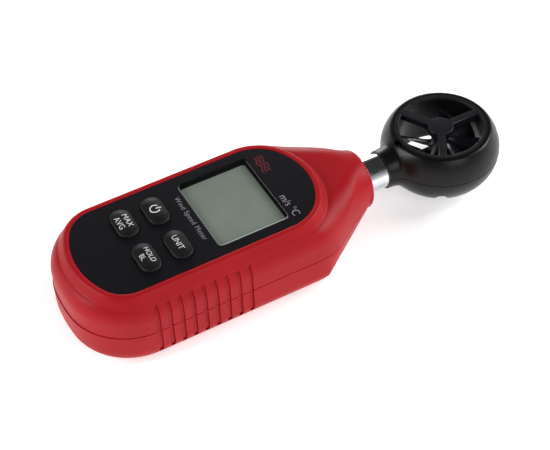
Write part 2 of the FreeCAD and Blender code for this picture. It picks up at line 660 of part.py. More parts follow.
def head_form(inset):
    """Solid of revolution of the head disc: flat faces joined by one bulging arc."""
    face_r = HEAD_FACE_R - inset
    half = HEAD_HALF - inset
    bulge_r = HEAD_R - inset
    drop = HEAD_R - HEAD_FACE_R
    radius = (drop ** 2 + half ** 2) / (2 * drop)
    lean = math.asin(half / radius) / 2
    upper = Vector(bulge_r - radius * (1 - math.cos(lean)), 0, radius * math.sin(lean))
    lower = Vector(upper.x, 0, -upper.z)
    top = Vector(face_r, 0, half)
    side = Vector(bulge_r, 0, 0)
    bottom = Vector(face_r, 0, -half)
    edges = [Part.makeLine(Vector(0, 0, half), top), Part.Arc(top, upper, side).toShape(),
             Part.Arc(side, lower, bottom).toShape(), Part.makeLine(bottom, Vector(0, 0, -half)),
             Part.makeLine(Vector(0, 0, -half), Vector(0, 0, half))]
    disc = Part.Face(Part.Wire(edges)).revolve(Vector(0, 0, 0), Vector(0, 0, 1), 360)
    disc.translate(Vector(0, HEAD_Y, AXIS_Z))
    return disc


def collar_form():
    """Trumpet from the collar mouth into the disc, about the neck axis."""
    mouth = TUBE_R + 0.7
    flare = mouth + 3.0
    flare_y = HEAD_Y - HEAD_R + 4.0
    middle = Vector((mouth + flare) / 2 - 0.7, (COLLAR_Y + flare_y) / 2 + 0.5, 0)
    inner_y = HEAD_Y - DUCT_R - DUCT_WALL / 2
    edges = [Part.makeLine(Vector(0, COLLAR_Y, 0), Vector(mouth, COLLAR_Y, 0)),
             Part.Arc(Vector(mouth, COLLAR_Y, 0), middle, Vector(flare, flare_y, 0)).toShape(),
             Part.makeLine(Vector(flare, flare_y, 0), Vector(flare, inner_y, 0)),
             Part.makeLine(Vector(flare, inner_y, 0), Vector(0, inner_y, 0)),
             Part.makeLine(Vector(0, inner_y, 0), Vector(0, COLLAR_Y, 0))]
    face = Part.Face(Part.Wire(edges))
    trumpet = face.revolve(Vector(0, 0, 0), Vector(0, 1, 0), 360)
    trumpet.translate(Vector(0, 0, AXIS_Z))
    return trumpet.common(box(-HEAD_R, HEAD_R, COLLAR_Y - 1, HEAD_Y, HEAD_BOTTOM + 0.3, HEAD_TOP - 0.3))


def head_screw_places():
    return [(HEAD_SCREW_AT * math.cos(math.radians(a)), HEAD_Y + HEAD_SCREW_AT * math.sin(math.radians(a)))
            for a in SPOKE_ANGLES]


def head_shell(upper):
    """Half of the head: duct wall inside, bulging wall outside, hollow between them."""
    z0, z1 = (AXIS_Z, HEAD_TOP + 1) if upper else (HEAD_BOTTOM - 1, AXIS_Z)
    half = joined([head_form(0.0), collar_form()]).common(box(-HEAD_R - 1, HEAD_R + 1, COLLAR_Y - 1,
                                                              HEAD_Y + HEAD_R + 1, z0, z1))
    duct = rod_z(DUCT_R, 0, HEAD_Y, HEAD_BOTTOM - 1, HEAD_TOP + 1)
    hollow = head_form(1.5).cut(rod_z(DUCT_R + DUCT_WALL, 0, HEAD_Y, HEAD_BOTTOM, HEAD_TOP))
    hollow = minus(hollow, [rod_z(HEAD_SCREW_HEAD_R + 0.9, x, y, HEAD_BOTTOM, HEAD_TOP)
                            for x, y in head_screw_places()])
    gap = BORE_GAP
    tube = rod_y(TUBE_R + gap, COLLAR_Y - 1, TUBE_END_Y + 0.2)
    rib = ring_y(TUBE_R - TUBE_GROOVE_DEPTH + gap, TUBE_R + 1, TUBE_GROOVE_Y + CLEAR / 2,
                 TUBE_GROOVE_Y + TUBE_GROOVE - CLEAR / 2)
    chamber = box(-HEAD_BOARD_HALF - 0.3, HEAD_BOARD_HALF + 0.3, TUBE_END_Y - 0.1,
                  HEAD_Y - DUCT_R - DUCT_WALL + 0.2, AXIS_Z - HEAD_BOARD_RISE - 0.3, AXIS_Z + HEAD_BOARD_RISE + 0.3)
    chamber = chamber.cut(rod_z(DUCT_R + DUCT_WALL, 0, HEAD_Y, HEAD_BOTTOM, HEAD_TOP))
    cuts = [duct, hollow, tube.cut(rib), chamber]
    if upper:
        cuts.append(rod_z(GUARD_R + 0.05, 0, HEAD_Y, HEAD_TOP - GUARD_RING_THICK, HEAD_TOP + 1))
        cuts.append(box(-SLOT_WIDTH / 2, SLOT_WIDTH / 2, SLOT_Y - SLOT_DEEP, SLOT_Y, AXIS_Z + 4, HEAD_TOP + 1))
        cuts += [rod_z(HEAD_SCREW_R + 0.02, x, y, AXIS_Z - 1, AXIS_Z + 5.5) for x, y in head_screw_places()]
    else:
        cuts.append(rod_z(GUARD_R + 0.05, 0, HEAD_Y, HEAD_BOTTOM - 1, HEAD_BOTTOM + GUARD_RING_THICK))
        cuts += [rod_z(HEAD_SCREW_HEAD_R + CLEAR, x, y, HEAD_BOTTOM - 1, HEAD_BOTTOM + HEAD_SCREW_SEAT)
                 for x, y in head_screw_places()]
        cuts += [rod_z(HEAD_SCREW_R + CLEAR, x, y, HEAD_BOTTOM - 1, AXIS_Z + 1) for x, y in head_screw_places()]
    return minus(half, cuts)


def ring_y(inner, outer, y0, y1):
    return rod_y(outer, y0, y1).cut(rod_y(inner, y0, y1))


def guard(front):
    """Ring, three spokes and a bearing hub, flush with the face of the head."""
    z_face = HEAD_TOP
    z_ring = z_face - GUARD_RING_THICK
    z_back = z_face - GUARD_DEPTH
    pieces = [ring_z(DUCT_R, GUARD_R, z_ring, z_face, 0, HEAD_Y), rod_z(HUB_R, 0, HEAD_Y, z_back, z_face)]
    for angle in SPOKE_ANGLES:
        for reach, low in ((DUCT_R + GUARD_RING / 2, z_ring), (DUCT_R - 0.1, z_back)):
            spoke = box(0, reach, -SPOKE_WIDTH / 2, SPOKE_WIDTH / 2, low, z_face)
            spoke.rotate(Vector(0, 0, 0), Vector(0, 0, 1), angle)
            spoke.translate(Vector(0, HEAD_Y, 0))
            pieces.append(spoke)
    shape = joined(pieces)
    outside = 2 * GUARD_R - 0.01
    face = [e for e in shape.Edges if e.BoundBox.ZMin > z_face - 1e-6 and e.BoundBox.XLength < outside]
    shape = shape.makeFillet(GUARD_ROUND, face)
    shape = shape.cut(rod_z(BEARING_R, 0, HEAD_Y, z_back - 1, z_back + BEARING_LENGTH))
    if not front:
        shape = shape.mirror(Vector(0, 0, AXIS_Z), Vector(0, 0, 1))
    return shape


def bearing(front):
    z0 = HEAD_TOP - GUARD_DEPTH
    bush = ring_z(SHAFT_R + SHAFT_CLEAR, BEARING_R, z0, z0 + BEARING_LENGTH, 0, HEAD_Y)
    return bush if front else bush.mirror(Vector(0, 0, AXIS_Z), Vector(0, 0, 1))


def impeller():
    """Hub with pitched blades cut to the sweep of the duct."""
    hub = rod_z(ROTOR_HUB_R, 0, 0, ROTOR_BOTTOM, ROTOR_TOP)
    tip = DUCT_R - BLADE_TIP_GAP
    sweep = rod_z(tip, 0, 0, ROTOR_BOTTOM, ROTOR_TOP)
    pieces = [hub]
    for i in range(BLADE_COUNT):
        blade = box(ROTOR_HUB_R / 2, tip + 1, -BLADE_CHORD / 2, BLADE_CHORD / 2, -BLADE_THICK / 2, BLADE_THICK / 2)
        blade.rotate(Vector(0, 0, 0), Vector(1, 0, 0), BLADE_PITCH)
        blade.translate(Vector(0, 0, AXIS_Z))
        blade = blade.common(sweep)
        blade.rotate(Vector(0, 0, 0), Vector(0, 0, 1), 360.0 / BLADE_COUNT * i)
        pieces.append(blade)
    wheel = joined(pieces)
    wheel = minus(wheel, [rod_z(SHAFT_R, 0, 0, ROTOR_BOTTOM - 1, ROTOR_TOP + 1),
                          rod_z(2.2, 0, 0, ROTOR_BOTTOM - 1, ROTOR_BOTTOM + 1.2)])
    wheel.translate(Vector(0, HEAD_Y, 0))
    return wheel


def impeller_shaft():
    inside = 0.3
    z0 = HEAD_BOTTOM + GUARD_DEPTH - BEARING_LENGTH + inside
    z1 = HEAD_TOP - GUARD_DEPTH + BEARING_LENGTH - inside
    return rod_z(SHAFT_R, 0, HEAD_Y, z0, z1)


def rotor_magnet():
    return ring_z(SHAFT_R, 2.2, ROTOR_BOTTOM, ROTOR_BOTTOM + 1.2, 0, HEAD_Y)


def head_board():
    """Small board across the root of the duct, in the collar."""
    plate = box(-HEAD_BOARD_HALF, HEAD_BOARD_HALF, HEAD_BOARD_Y, HEAD_BOARD_Y + HEAD_BOARD_THICK,
                AXIS_Z - HEAD_BOARD_RISE, AXIS_Z + HEAD_BOARD_RISE)
    return plate


def hall_sensor():
    y0 = HEAD_BOARD_Y + HEAD_BOARD_THICK
    return box(-1.5, 1.5, y0, y0 + 0.7, AXIS_Z - 3.4, AXIS_Z - 0.4)


def thermistor():
    """Glass bead on two legs, standing in the slot beside the guard."""
    y = SLOT_Y - SLOT_DEEP / 2
    bead_z = HEAD_TOP - 1.8
    legs = [rod_z(0.25, x, y, AXIS_Z + HEAD_BOARD_RISE, bead_z) for x in (-0.6, 0.6)]
    bead = Part.makeSphere(SLOT_DEEP / 2 - 0.05, Vector(0, y, bead_z))
    return joined([bead] + legs)


def head_screws():
    seat = HEAD_BOTTOM + HEAD_SCREW_SEAT
    return Part.makeCompound([screw(x, y, seat, AXIS_Z + 5.0, HEAD_SCREW_R, HEAD_SCREW_HEAD_R, HEAD_SCREW_HEAD)
                              for x, y in head_screw_places()])


def lead_plug():
    """Connector on the head end of the main board."""
    y1 = BOARD_HEAD_Y - 0.5
    return box(-4, 4, y1 - PLUG_LENGTH, y1, BOARD_TOP, BOARD_TOP + 2 * PLUG_Z)


def sensor_lead():
    """Lead from the plug, down to the neck axis and along the tube to the head board.

    Straight runs joined by tangent arcs, each as large as its shorter run allows."""
    z_high = BOARD_TOP + PLUG_Z
    y_start = BOARD_HEAD_Y - 0.5
    fall = z_high - AXIS_Z
    points = [Vector(0, y_start, z_high), Vector(0, TUBE_START_Y - 1.5 * fall, z_high),
              Vector(0, TUBE_START_Y - 0.2 * fall, AXIS_Z), Vector(0, HEAD_BOARD_Y, AXIS_Z)]
    edges = []
    at = points[0]
    for before, corner, after in zip(points, points[1:], points[2:]):
        turn = (corner - before).getAngle(after - corner)
        short = min((corner - before).Length, (after - corner).Length)
        radius = 0.45 * short / math.tan(turn / 2)
        start, arc, finish = bend(before, corner, after, radius)
        edges += [Part.makeLine(at, start), arc]
        at = finish
        print("lead bend radius", round(radius, 2))
    edges.append(Part.makeLine(at, points[-1]))
    section = Part.Wire(Part.makeCircle(LEAD_R, points[0], Vector(0, 1, 0)))
    return Part.Wire(edges).makePipeShell([section], True, False)


# ---- writing -------------------------------------------------------------------

def write(name, shape):
    if not shape.isValid() or shape.Volume <= 0:
        raise RuntimeError(name + " is not a valid solid")
    print(name, "solids", len(shape.Solids), "volume", round(shape.Volume, 1))
    shape.exportStep(os.path.join("parts", name + ".step"))


OUTER = case_block(0.0)
CAVITY = case_block(WALL).common(box(-WIDTH, WIDTH, -LENGTH, NECK_BLOCK_Y, 0, CASE_TOP))
GROOVES = grip_grooves()
SEAM = seam()


def main():
    os.makedirs("parts", exist_ok=True)
    write("upper_case", upper_case())
    write("lower_case", lower_case())
    write("battery_door", battery_door())
    write("front_panel", front_panel())
    write("display_window", display_window())
    write("lcd_glass", lcd_glass())
    write("lcd_backlight", lcd_backlight())
    write("zebra_strip", zebra_strip())
    write("circuit_board", circuit_board())
    write("microcontroller", microcontroller())
    write("key_switches", key_switches())
    for name, (x, y) in KEY_PLACES.items():
        write(name, button(x, y))
    for i in range(CELL_COUNT):
        write("battery_%d" % (i + 1), battery(i))
    write("battery_springs", battery_springs())
    write("battery_plates", battery_plates())
    write("case_screws", case_screws())
    write("neck_tube", neck_tube())
    write("head_upper_shell", head_shell(True))
    write("head_lower_shell", head_shell(False))
    write("front_guard", guard(True))
    write("rear_guard", guard(False))
    write("front_bearing", bearing(True))
    write("rear_bearing", bearing(False))
    write("impeller", impeller())
    write("impeller_shaft", impeller_shaft())
    write("rotor_magnet", rotor_magnet())
    write("head_board", head_board())
    write("hall_sensor", hall_sensor())
    write("thermistor", thermistor())
    write("head_screws", head_screws())
    write("lead_plug", lead_plug())
    write("sensor_lead", sensor_lead())


main()
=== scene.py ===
"""Looks of a hand-held vane anemometer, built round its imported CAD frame."""

import json
import math
from contextlib import contextmanager

import bmesh
import bpy
import numpy as np
from bpy.props import FloatProperty, FloatVectorProperty, PointerProperty
from mathutils import Matrix, Vector

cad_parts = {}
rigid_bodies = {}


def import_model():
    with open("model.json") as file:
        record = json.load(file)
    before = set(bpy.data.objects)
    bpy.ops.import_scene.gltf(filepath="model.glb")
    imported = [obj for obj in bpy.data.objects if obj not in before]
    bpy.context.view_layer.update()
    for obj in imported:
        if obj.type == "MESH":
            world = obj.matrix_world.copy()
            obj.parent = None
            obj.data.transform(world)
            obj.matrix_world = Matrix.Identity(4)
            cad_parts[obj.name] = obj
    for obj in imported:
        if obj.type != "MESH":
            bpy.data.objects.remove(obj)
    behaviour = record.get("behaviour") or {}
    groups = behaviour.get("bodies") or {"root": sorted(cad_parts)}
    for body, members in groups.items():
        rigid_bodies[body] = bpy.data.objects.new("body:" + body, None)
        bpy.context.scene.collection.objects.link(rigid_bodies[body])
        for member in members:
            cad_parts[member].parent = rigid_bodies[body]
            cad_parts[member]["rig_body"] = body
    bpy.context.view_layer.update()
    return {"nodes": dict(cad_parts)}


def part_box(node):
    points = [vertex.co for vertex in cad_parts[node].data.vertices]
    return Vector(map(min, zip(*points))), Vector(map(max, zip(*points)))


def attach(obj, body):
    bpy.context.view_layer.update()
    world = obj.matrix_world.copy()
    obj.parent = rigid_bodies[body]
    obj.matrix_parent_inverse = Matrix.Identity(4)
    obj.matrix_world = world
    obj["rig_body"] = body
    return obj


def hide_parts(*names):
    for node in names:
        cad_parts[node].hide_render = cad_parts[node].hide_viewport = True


bl_info = {
    "name": "Vane anemometer",
    "version": (1, 0, 0),
    "blender": (4, 5, 0),
    "location": "3D View > Sidebar > Anemometer",
    "description": "Case, keys, window, neck and vane head of a hand-held anemometer",
    "category": "Object",
}

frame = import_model()
NODES = frame["nodes"]
TO_MM = 1000.0
TO_M = 0.001


def cad_box(node):
    """Lowest and highest corner of a CAD node, in millimetres."""
    low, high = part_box(node)
    return np.array(low) * TO_MM, np.array(high) * TO_MM


# ---- places read from the frame, in millimetres
CASE_HIGH = cad_box("lower_case")[1]
PANEL_LOW, PANEL_HIGH = cad_box("front_panel")
LENS_LOW, LENS_HIGH = cad_box("display_window")
GUARD_LOW, GUARD_HIGH = cad_box("front_guard")
HEAD_LOW, HEAD_HIGH = cad_box("head_upper_shell")
ROTOR_LOW, ROTOR_HIGH = cad_box("impeller")
TUBE_LOW, TUBE_HIGH = cad_box("neck_tube")
PANEL_GAP = 0.1
CASE_HALF = CASE_HIGH[0]
PARTING_Z = cad_box("upper_case")[0][2]
TAIL_Y = cad_box("battery_door")[0][1]
NECK_Y = CASE_HIGH[1]
PANEL_TOP = PANEL_HIGH[2]
PANEL_HALF = PANEL_HIGH[0] + PANEL_GAP
PANEL_TAIL_Y = PANEL_LOW[1] - PANEL_GAP
PANEL_HEAD_Y = PANEL_HIGH[1] + PANEL_GAP
AXIS_Z = HEAD_LOW[2]
HEAD_HALF = HEAD_HIGH[2] - AXIS_Z
HEAD_R = HEAD_HIGH[0]
HEAD_Y = (GUARD_LOW[1] + GUARD_HIGH[1]) / 2
MOUTH_Y = HEAD_LOW[1]
KEY_TOP = cad_box("power_button")[1][2]
KEY_NODES = ("power_button", "unit_button", "max_avg_button", "hold_button")

# ---- curves of the moulding, as in the CAD
CASE_TOP = 25.4
TAIL_ARC = (60.0, 21.4)
PANEL_TAIL_ARC = (28.3, 10.5)
PANEL_HEAD_ARC = (23.4, 14.5)
SHOULDER_R = 20.0
SHOULDER_CORNER = (25.0, 2.7)
SHOULDER_TIP = (12.0, 32.3)
NECK_R = 10.0
NECK_STEEPNESS = 0.6787
NECK_STRAIGHT = 2.1
NECK_END_ROUND = 1.5
NECK_EDGE = 1.2           # half axes of the top edge where it reaches the neck
NECK_EASE = 5.0           # reach of the curve between the cone and the neck
CONE_BLEND = 1.6          # easing between the sides and the cone
TIGHTENING = (8.0, 3.0)   # the top edge tightens from this Y to this far from the neck end
LIFT_HEIGHT = 6.0         # the easings grow from the joint line up to this height
KEY_EDGE = (0.95, 0.75)   # half axes of the rounded edge of a key
KEY_FLANGE = 1.1
RIM_ROUND = 0.6
LENS_LEDGE = 0.8
TUBE_BARE = 6.0
TUBE_BORE = 4.5
SOCKET_R = 6.05           # hole in the neck end
SOCKET_STEP_R = 8.0
FAN_Y = -59.5             # centre of the rays round the tail
FAN_COUNT = 44
GROOVE_FIRST = -58.0
GROOVE_PITCH = 3.98
GROOVE_COUNT = 9
GROOVE_HALF = 0.725
GROOVE_TOP = 24.6


def linear(code):
    """Linear colour of an sRGB hex code."""
    code = code.lstrip("#")
    channels = [int(code[i:i + 2], 16) / 255.0 for i in (0, 2, 4)]
    return tuple(c / 12.92 if c <= 0.04045 else ((c + 0.055) / 1.055) ** 2.4 for c in channels)


def colour(code, name, text):
    return FloatVectorProperty(name=name, description=text, subtype="COLOR", size=3,
                               min=0.0, max=1.0, default=linear(code))


def length(value, name, text):
    return FloatProperty(name=name, description=text, unit="LENGTH", subtype="DISTANCE",
                         default=value * TO_M, precision=5)


class AnemometerSizes(bpy.types.PropertyGroup):
    """Sizes of the moulded details."""

    rim_width: length(2.0, "Rim width", "Width of the raised rim round the display panel")
    rim_flare: length(2.2, "Rim flare", "Reach of the hollow curve at the foot of the rim")
    edge_across: length(4.2, "Edge across", "Width of the rounded upper edge of the case")
    edge_down: length(6.4, "Edge down", "Height of the rounded upper edge of the case")
    shell: length(1.6, "Shell", "Thickness of the upper case wall")
    seam: length(0.3, "Seam", "Depth of the joint line between the case halves")
    groove_depth: length(0.6, "Grip depth", "Depth of the grip grooves in the flanks")
    key_dome: length(0.5, "Key dome", "Rise of a key from its edge to its middle")
    ink: length(0.04, "Ink", "Height of the printing above the surface")
    blade_thickness: length(0.75, "Blade thickness", "Thickest part of an impeller blade")
    collar_flare: length(2.3, "Collar flare", "Growth of the collar radius towards the head")


class AnemometerColours(bpy.types.PropertyGroup):
    """Colours of the finishes."""

    case_red: colour("#AC161F", "Case red", "Red of the moulded case")
    case_red_deep: colour("#A2131B", "Case red, deeper", "Slightly darker patches of the case")
    panel_black: colour("#121016", "Panel", "Overlay round the display")
    key_black: colour("#191513", "Keys", "Rubber of the keys")
    head_black: colour("#0D0B0A", "Head", "Moulded head shells")
    guard_grey: colour("#1A171D", "Guard", "Guard rings, spokes and hubs")
    display_grey: colour("#98A398", "Display", "Face of the unpowered display")
    print_white: colour("#E9E9EA", "Print", "White printing")
    print_red: colour("#6E1A20", "Emblem", "Dark red emblem on the panel")
    rotor_dark: colour("#1C1C28", "Impeller", "Impeller blades")
    floor_pale: colour("#F7F7F8", "Floor", "Surface that the instrument lies on")


# ---- mesh making

def grid_quads(rows, columns, wrap_rows=False, wrap_columns=False):
    """Corner numbers of the quads of a rows by columns grid stored row by row."""
    r = np.arange(rows if wrap_rows else rows - 1)[:, None]
    c = np.arange(columns if wrap_columns else columns - 1)[None, :]
    r1, c1 = (r + 1) % rows, (c + 1) % columns
    return np.stack([r * columns + c, r * columns + c1, r1 * columns + c1, r1 * columns + c],
                    axis=-1).reshape(-1, 4)


def new_mesh(name, points, quads):
    """Mesh from points in millimetres: doubles merged, slivers dropped, faces turned out."""
    data = bpy.data.meshes.new(name)
    data.from_pydata((np.asarray(points, float).reshape(-1, 3) * TO_M).tolist(), [],
                     np.asarray(quads).tolist())
    clean(data)
    return data


@contextmanager
def edited(data):
    """Opens a mesh for bmesh edits and writes them back."""
    work = bmesh.new()
    work.from_mesh(data)
    yield work
    work.to_mesh(data)
    work.free()


def clean(data, merge=2e-6):
    """Merges doubles, drops slivers and loose points, and turns the faces outwards."""
    with edited(data) as work:
        bmesh.ops.remove_doubles(work, verts=work.verts, dist=merge)
        bmesh.ops.dissolve_degenerate(work, edges=work.edges, dist=merge / 2)
        loose = [v for v in work.verts if not v.link_faces]
        bmesh.ops.delete(work, geom=loose, context="VERTS")
        bmesh.ops.recalc_face_normals(work, faces=work.faces)
        middle = sum((v.co for v in work.verts), Vector()) / max(len(work.verts), 1)
        outward = sum(f.calc_area() * f.normal.dot(f.calc_center_median() - middle) for f in work.faces)
        if outward < 0:
            bmesh.ops.reverse_faces(work, faces=work.faces)
    data.update()


def placed(name, data):
    """New object in the scene, at the origin."""
    obj = bpy.data.objects.new(name, data)
    bpy.context.scene.collection.objects.link(obj)
    return obj


def piece(data, body, material, replaced=(), crease=35.0):
    """Puts a finished mesh into the scene as a piece that rides on a body."""
    obj = placed(data.name, data)
    data.materials.clear()
    data.materials.append(material)
    data.shade_smooth()
    data.set_sharp_from_angle(angle=math.radians(crease))
    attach(obj, body)
    if replaced:
        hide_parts(*replaced)
    return obj


def solid_copy(node):
    """Welded mesh of a CAD node, ready for smooth shading."""
    data = NODES[node].data.copy()
    data.name = node + "_mesh"
    with edited(data) as work:
        bmesh.ops.remove_doubles(work, verts=work.verts, dist=1e-6)
        bmesh.ops.dissolve_degenerate(work, edges=work.edges, dist=1e-7)
    for name in [a.name for a in data.attributes if a.name == "custom_normal"]:
        data.attributes.remove(data.attributes[name])
    return data


def finished_node(node, name, material, crease=30.0):
    """The CAD node's own form, smooth across its facets."""
    data = solid_copy(node)
    data.name = name
    return piece(data, NODES[node]["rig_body"], material, (node,), crease)


def loop_sweep(outline, outward, profile):
    """Points of a profile carried round a closed outline.

    outline and outward are (n, 2); profile is (m, 2) of offset along outward and
    height, or (m, n, 2) where the height changes along the outline."""
    profile = np.asarray(profile, float)
    if profile.ndim == 2:
        profile = np.repeat(profile[:, None, :], len(outline), axis=1)
    flat = outline[None] + outward[None] * profile[..., :1]
    return np.concatenate([flat, profile[..., 1:]], axis=-1)


# ---- outlines

def crowned_end(half, end_y, arcs, away, count=24):
    """Half of a crowned end from the centre line to the side: an arc about the centre
    line, then a corner arc that touches it and the side.  Gives points and outward."""
    end_r, corner_r = arcs
    rise = math.sqrt((end_r - corner_r) ** 2 - (half - corner_r) ** 2)
    centre_y = end_y - away * end_r
    lean = math.atan2(half - corner_r, rise)
    turn = np.concatenate([np.linspace(0, lean, count, endpoint=False),
                           np.linspace(lean, math.pi / 2, 2 * count)])
    outward = np.stack([np.sin(turn), away * np.cos(turn)], axis=1)
    at_end = np.array([0.0, centre_y]) + end_r * outward
    at_corner = np.array([half - corner_r, centre_y + away * rise]) + corner_r * outward
    return np.where((np.arange(len(turn)) < count)[:, None], at_end, at_corner), outward


def crowned_gap(x, y, half, end_y, arcs, away):
    """Signed distance to that end's outline, negative inside."""
    end_r, corner_r = arcs
    rise = math.sqrt((end_r - corner_r) ** 2 - (half - corner_r) ** 2)
    centre_y = end_y - away * end_r
    corner_y = centre_y + away * rise
    lean = math.atan2(half - corner_r, rise)
    beyond = (y - corner_y) * away
    aside = np.abs(x) - (half - corner_r)
    corner = np.hypot(aside, beyond) - corner_r
    end = np.hypot(x, y - centre_y) - end_r
    curved = np.where(np.arctan2(aside, beyond) > lean, corner, end)
    return np.where(beyond > 0, curved, np.abs(x) - half)


def panel_outline():
    """Closed outline of the display panel and its outward directions."""
    tail, tail_out = crowned_end(PANEL_HALF, PANEL_TAIL_Y, PANEL_TAIL_ARC, -1.0)
    head, head_out = crowned_end(PANEL_HALF, PANEL_HEAD_Y, PANEL_HEAD_ARC, 1.0)
    along = np.linspace(tail[-1], head[-1], 60)[1:-1]
    right = np.concatenate([tail, along, head[::-1]])
    out = np.concatenate([tail_out, np.repeat([[1.0, 0.0]], len(along), 0), head_out[::-1]])
    flip = np.array([-1.0, 1.0])
    return (np.concatenate([right, (right * flip)[-2:0:-1]]),
            np.concatenate([out, (out * flip)[-2:0:-1]]))


def panel_gap(x, y):
    """Signed distance to the outline of the display panel."""
    middle = (PANEL_TAIL_Y + PANEL_HEAD_Y) / 2
    return np.where(y < middle, crowned_gap(x, y, PANEL_HALF, PANEL_TAIL_Y, PANEL_TAIL_ARC, -1.0),
                    crowned_gap(x, y, PANEL_HALF, PANEL_HEAD_Y, PANEL_HEAD_ARC, 1.0))


def rounded_rectangle(x0, x1, y0, y1, corner, count=10):
    """Closed outline of a rectangle with quarter-round corners, and its outward directions."""
    turn = np.linspace(0, math.pi / 2, count)
    points, outs = [], []
    for k, (cx, cy) in enumerate([(x1 - corner, y1 - corner), (x0 + corner, y1 - corner),
                                  (x0 + corner, y0 + corner), (x1 - corner, y0 + corner)]):
        a = turn + k * math.pi / 2
        out = np.stack([np.cos(a), np.sin(a)], axis=1)
        points.append(np.array([cx, cy]) + corner * out)
        outs.append(out)
    return np.concatenate(points), np.concatenate(outs)


# ---- form of the upper case

def soft_max(a, b, width):
    """The larger of a and b, eased where they are within width of each other."""
    near = np.maximum(1 - np.abs(a - b) / width, 0)
    return np.maximum(a, b) + width / 4 * near ** 2


def rounded_corner(a, b, across, down):
    """Meeting of two faces a = 0 and b = 0 by an elliptical round of those half axes."""
    return np.hypot(np.maximum(a / across + 1, 0), np.maximum(b / down + 1, 0)) - 1


def eased(value, low, high):
    """0 below low, 1 above high, smooth between."""
    t = np.clip((value - low) / (high - low), 0, 1)
    return t * t * (3 - 2 * t)


def plan_gap(x, y):
    """Signed distance to the plan of the case: crowned tail, straight sides, rounded
    shoulders and the lines that lead to the neck."""
    corner, tip = np.array(SHOULDER_CORNER), np.array(SHOULDER_TIP)
    run = tip - corner
    slope = np.array([run[1], -run[0]]) / np.hypot(*run)
    turn = math.atan2(slope[1], slope[0])
    bend_y = corner[1] - SHOULDER_R * math.tan(turn / 2)
    side = np.abs(x)
    leading = (side - corner[0]) * slope[0] + (y - corner[1]) * slope[1]
    bend_x = side - (corner[0] - SHOULDER_R)
    bend = np.hypot(bend_x, y - bend_y) - SHOULDER_R
    about = np.arctan2(y - bend_y, bend_x)
    front = np.where(about < 0, side - CASE_HALF, np.where(about < turn, bend, leading))
    tail = crowned_gap(x, y, CASE_HALF, TAIL_Y, TAIL_ARC, -1.0)
    return np.where(y < 0.5 * (TAIL_Y + NECK_Y), tail, front)


def case_form(point, sizes):
    """Negative inside the upper case.  The side is the plan or the cone about the neck
    axis, whichever is nearer; it meets the flat top by a round that tightens at the neck."""
    x, y, z = point[..., 0], point[..., 1], point[..., 2]
    lift = np.clip((z - AXIS_Z) / LIFT_HEIGHT, 0.02, 1.0)
    ahead = NECK_Y - NECK_STRAIGHT - y
    ease = NECK_EASE * lift
    ramp = np.where(ahead > ease, ahead, np.where(ahead < -ease, 0.0, (ahead + ease) ** 2 / (4 * ease)))
    radius = NECK_R + NECK_STEEPNESS * ramp
    cone = (np.hypot(x, z - AXIS_Z) - radius) / math.hypot(1, NECK_STEEPNESS)
    side = soft_max(plan_gap(x, y), cone, CONE_BLEND * lift)
    tight = eased(y, TIGHTENING[0], NECK_Y - TIGHTENING[1])
    across = sizes.edge_across * TO_MM * (1 - tight) + NECK_EDGE * tight
    down = sizes.edge_down * TO_MM * (1 - tight) + NECK_EDGE * tight
    return rounded_corner(side, z - CASE_TOP, across, down)


def reach(form, origin, direction, far=95.0):
    """Distance along each ray at which form turns positive, found by halving."""
    low = np.zeros(direction.shape[:-1])
    high = np.full_like(low, far)
    for _ in range(40):
        middle = (low + high) / 2
        inside = form(origin + middle[..., None] * direction) < 0
        low, high = np.where(inside, middle, low), np.where(inside, high, middle)
    return low


def side_columns():
    """Places along the flank: close together at the groove edges, wider between."""
    steps = np.array([-1.0, -0.86, -0.8, -0.725, -0.62, -0.4, 0.0, 0.4, 0.62, 0.725, 0.8, 0.86, 1.0])
    grooves = (GROOVE_FIRST + GROOVE_PITCH * np.arange(GROOVE_COUNT))[:, None] + steps[None, :]
    end_y = NECK_Y - NECK_END_ROUND
    ahead = np.linspace(GROOVE_FIRST + GROOVE_PITCH * GROOVE_COUNT - 1.8, end_y, 84)
    between = GROOVE_FIRST + GROOVE_PITCH * (np.arange(GROOVE_COUNT - 1) + 0.5)
    end = end_y + NECK_END_ROUND * np.sin(np.linspace(0, math.pi / 2, 10))[1:]
    return np.concatenate([np.sort(np.concatenate([[FAN_Y], grooves.ravel(), between, ahead])), end])


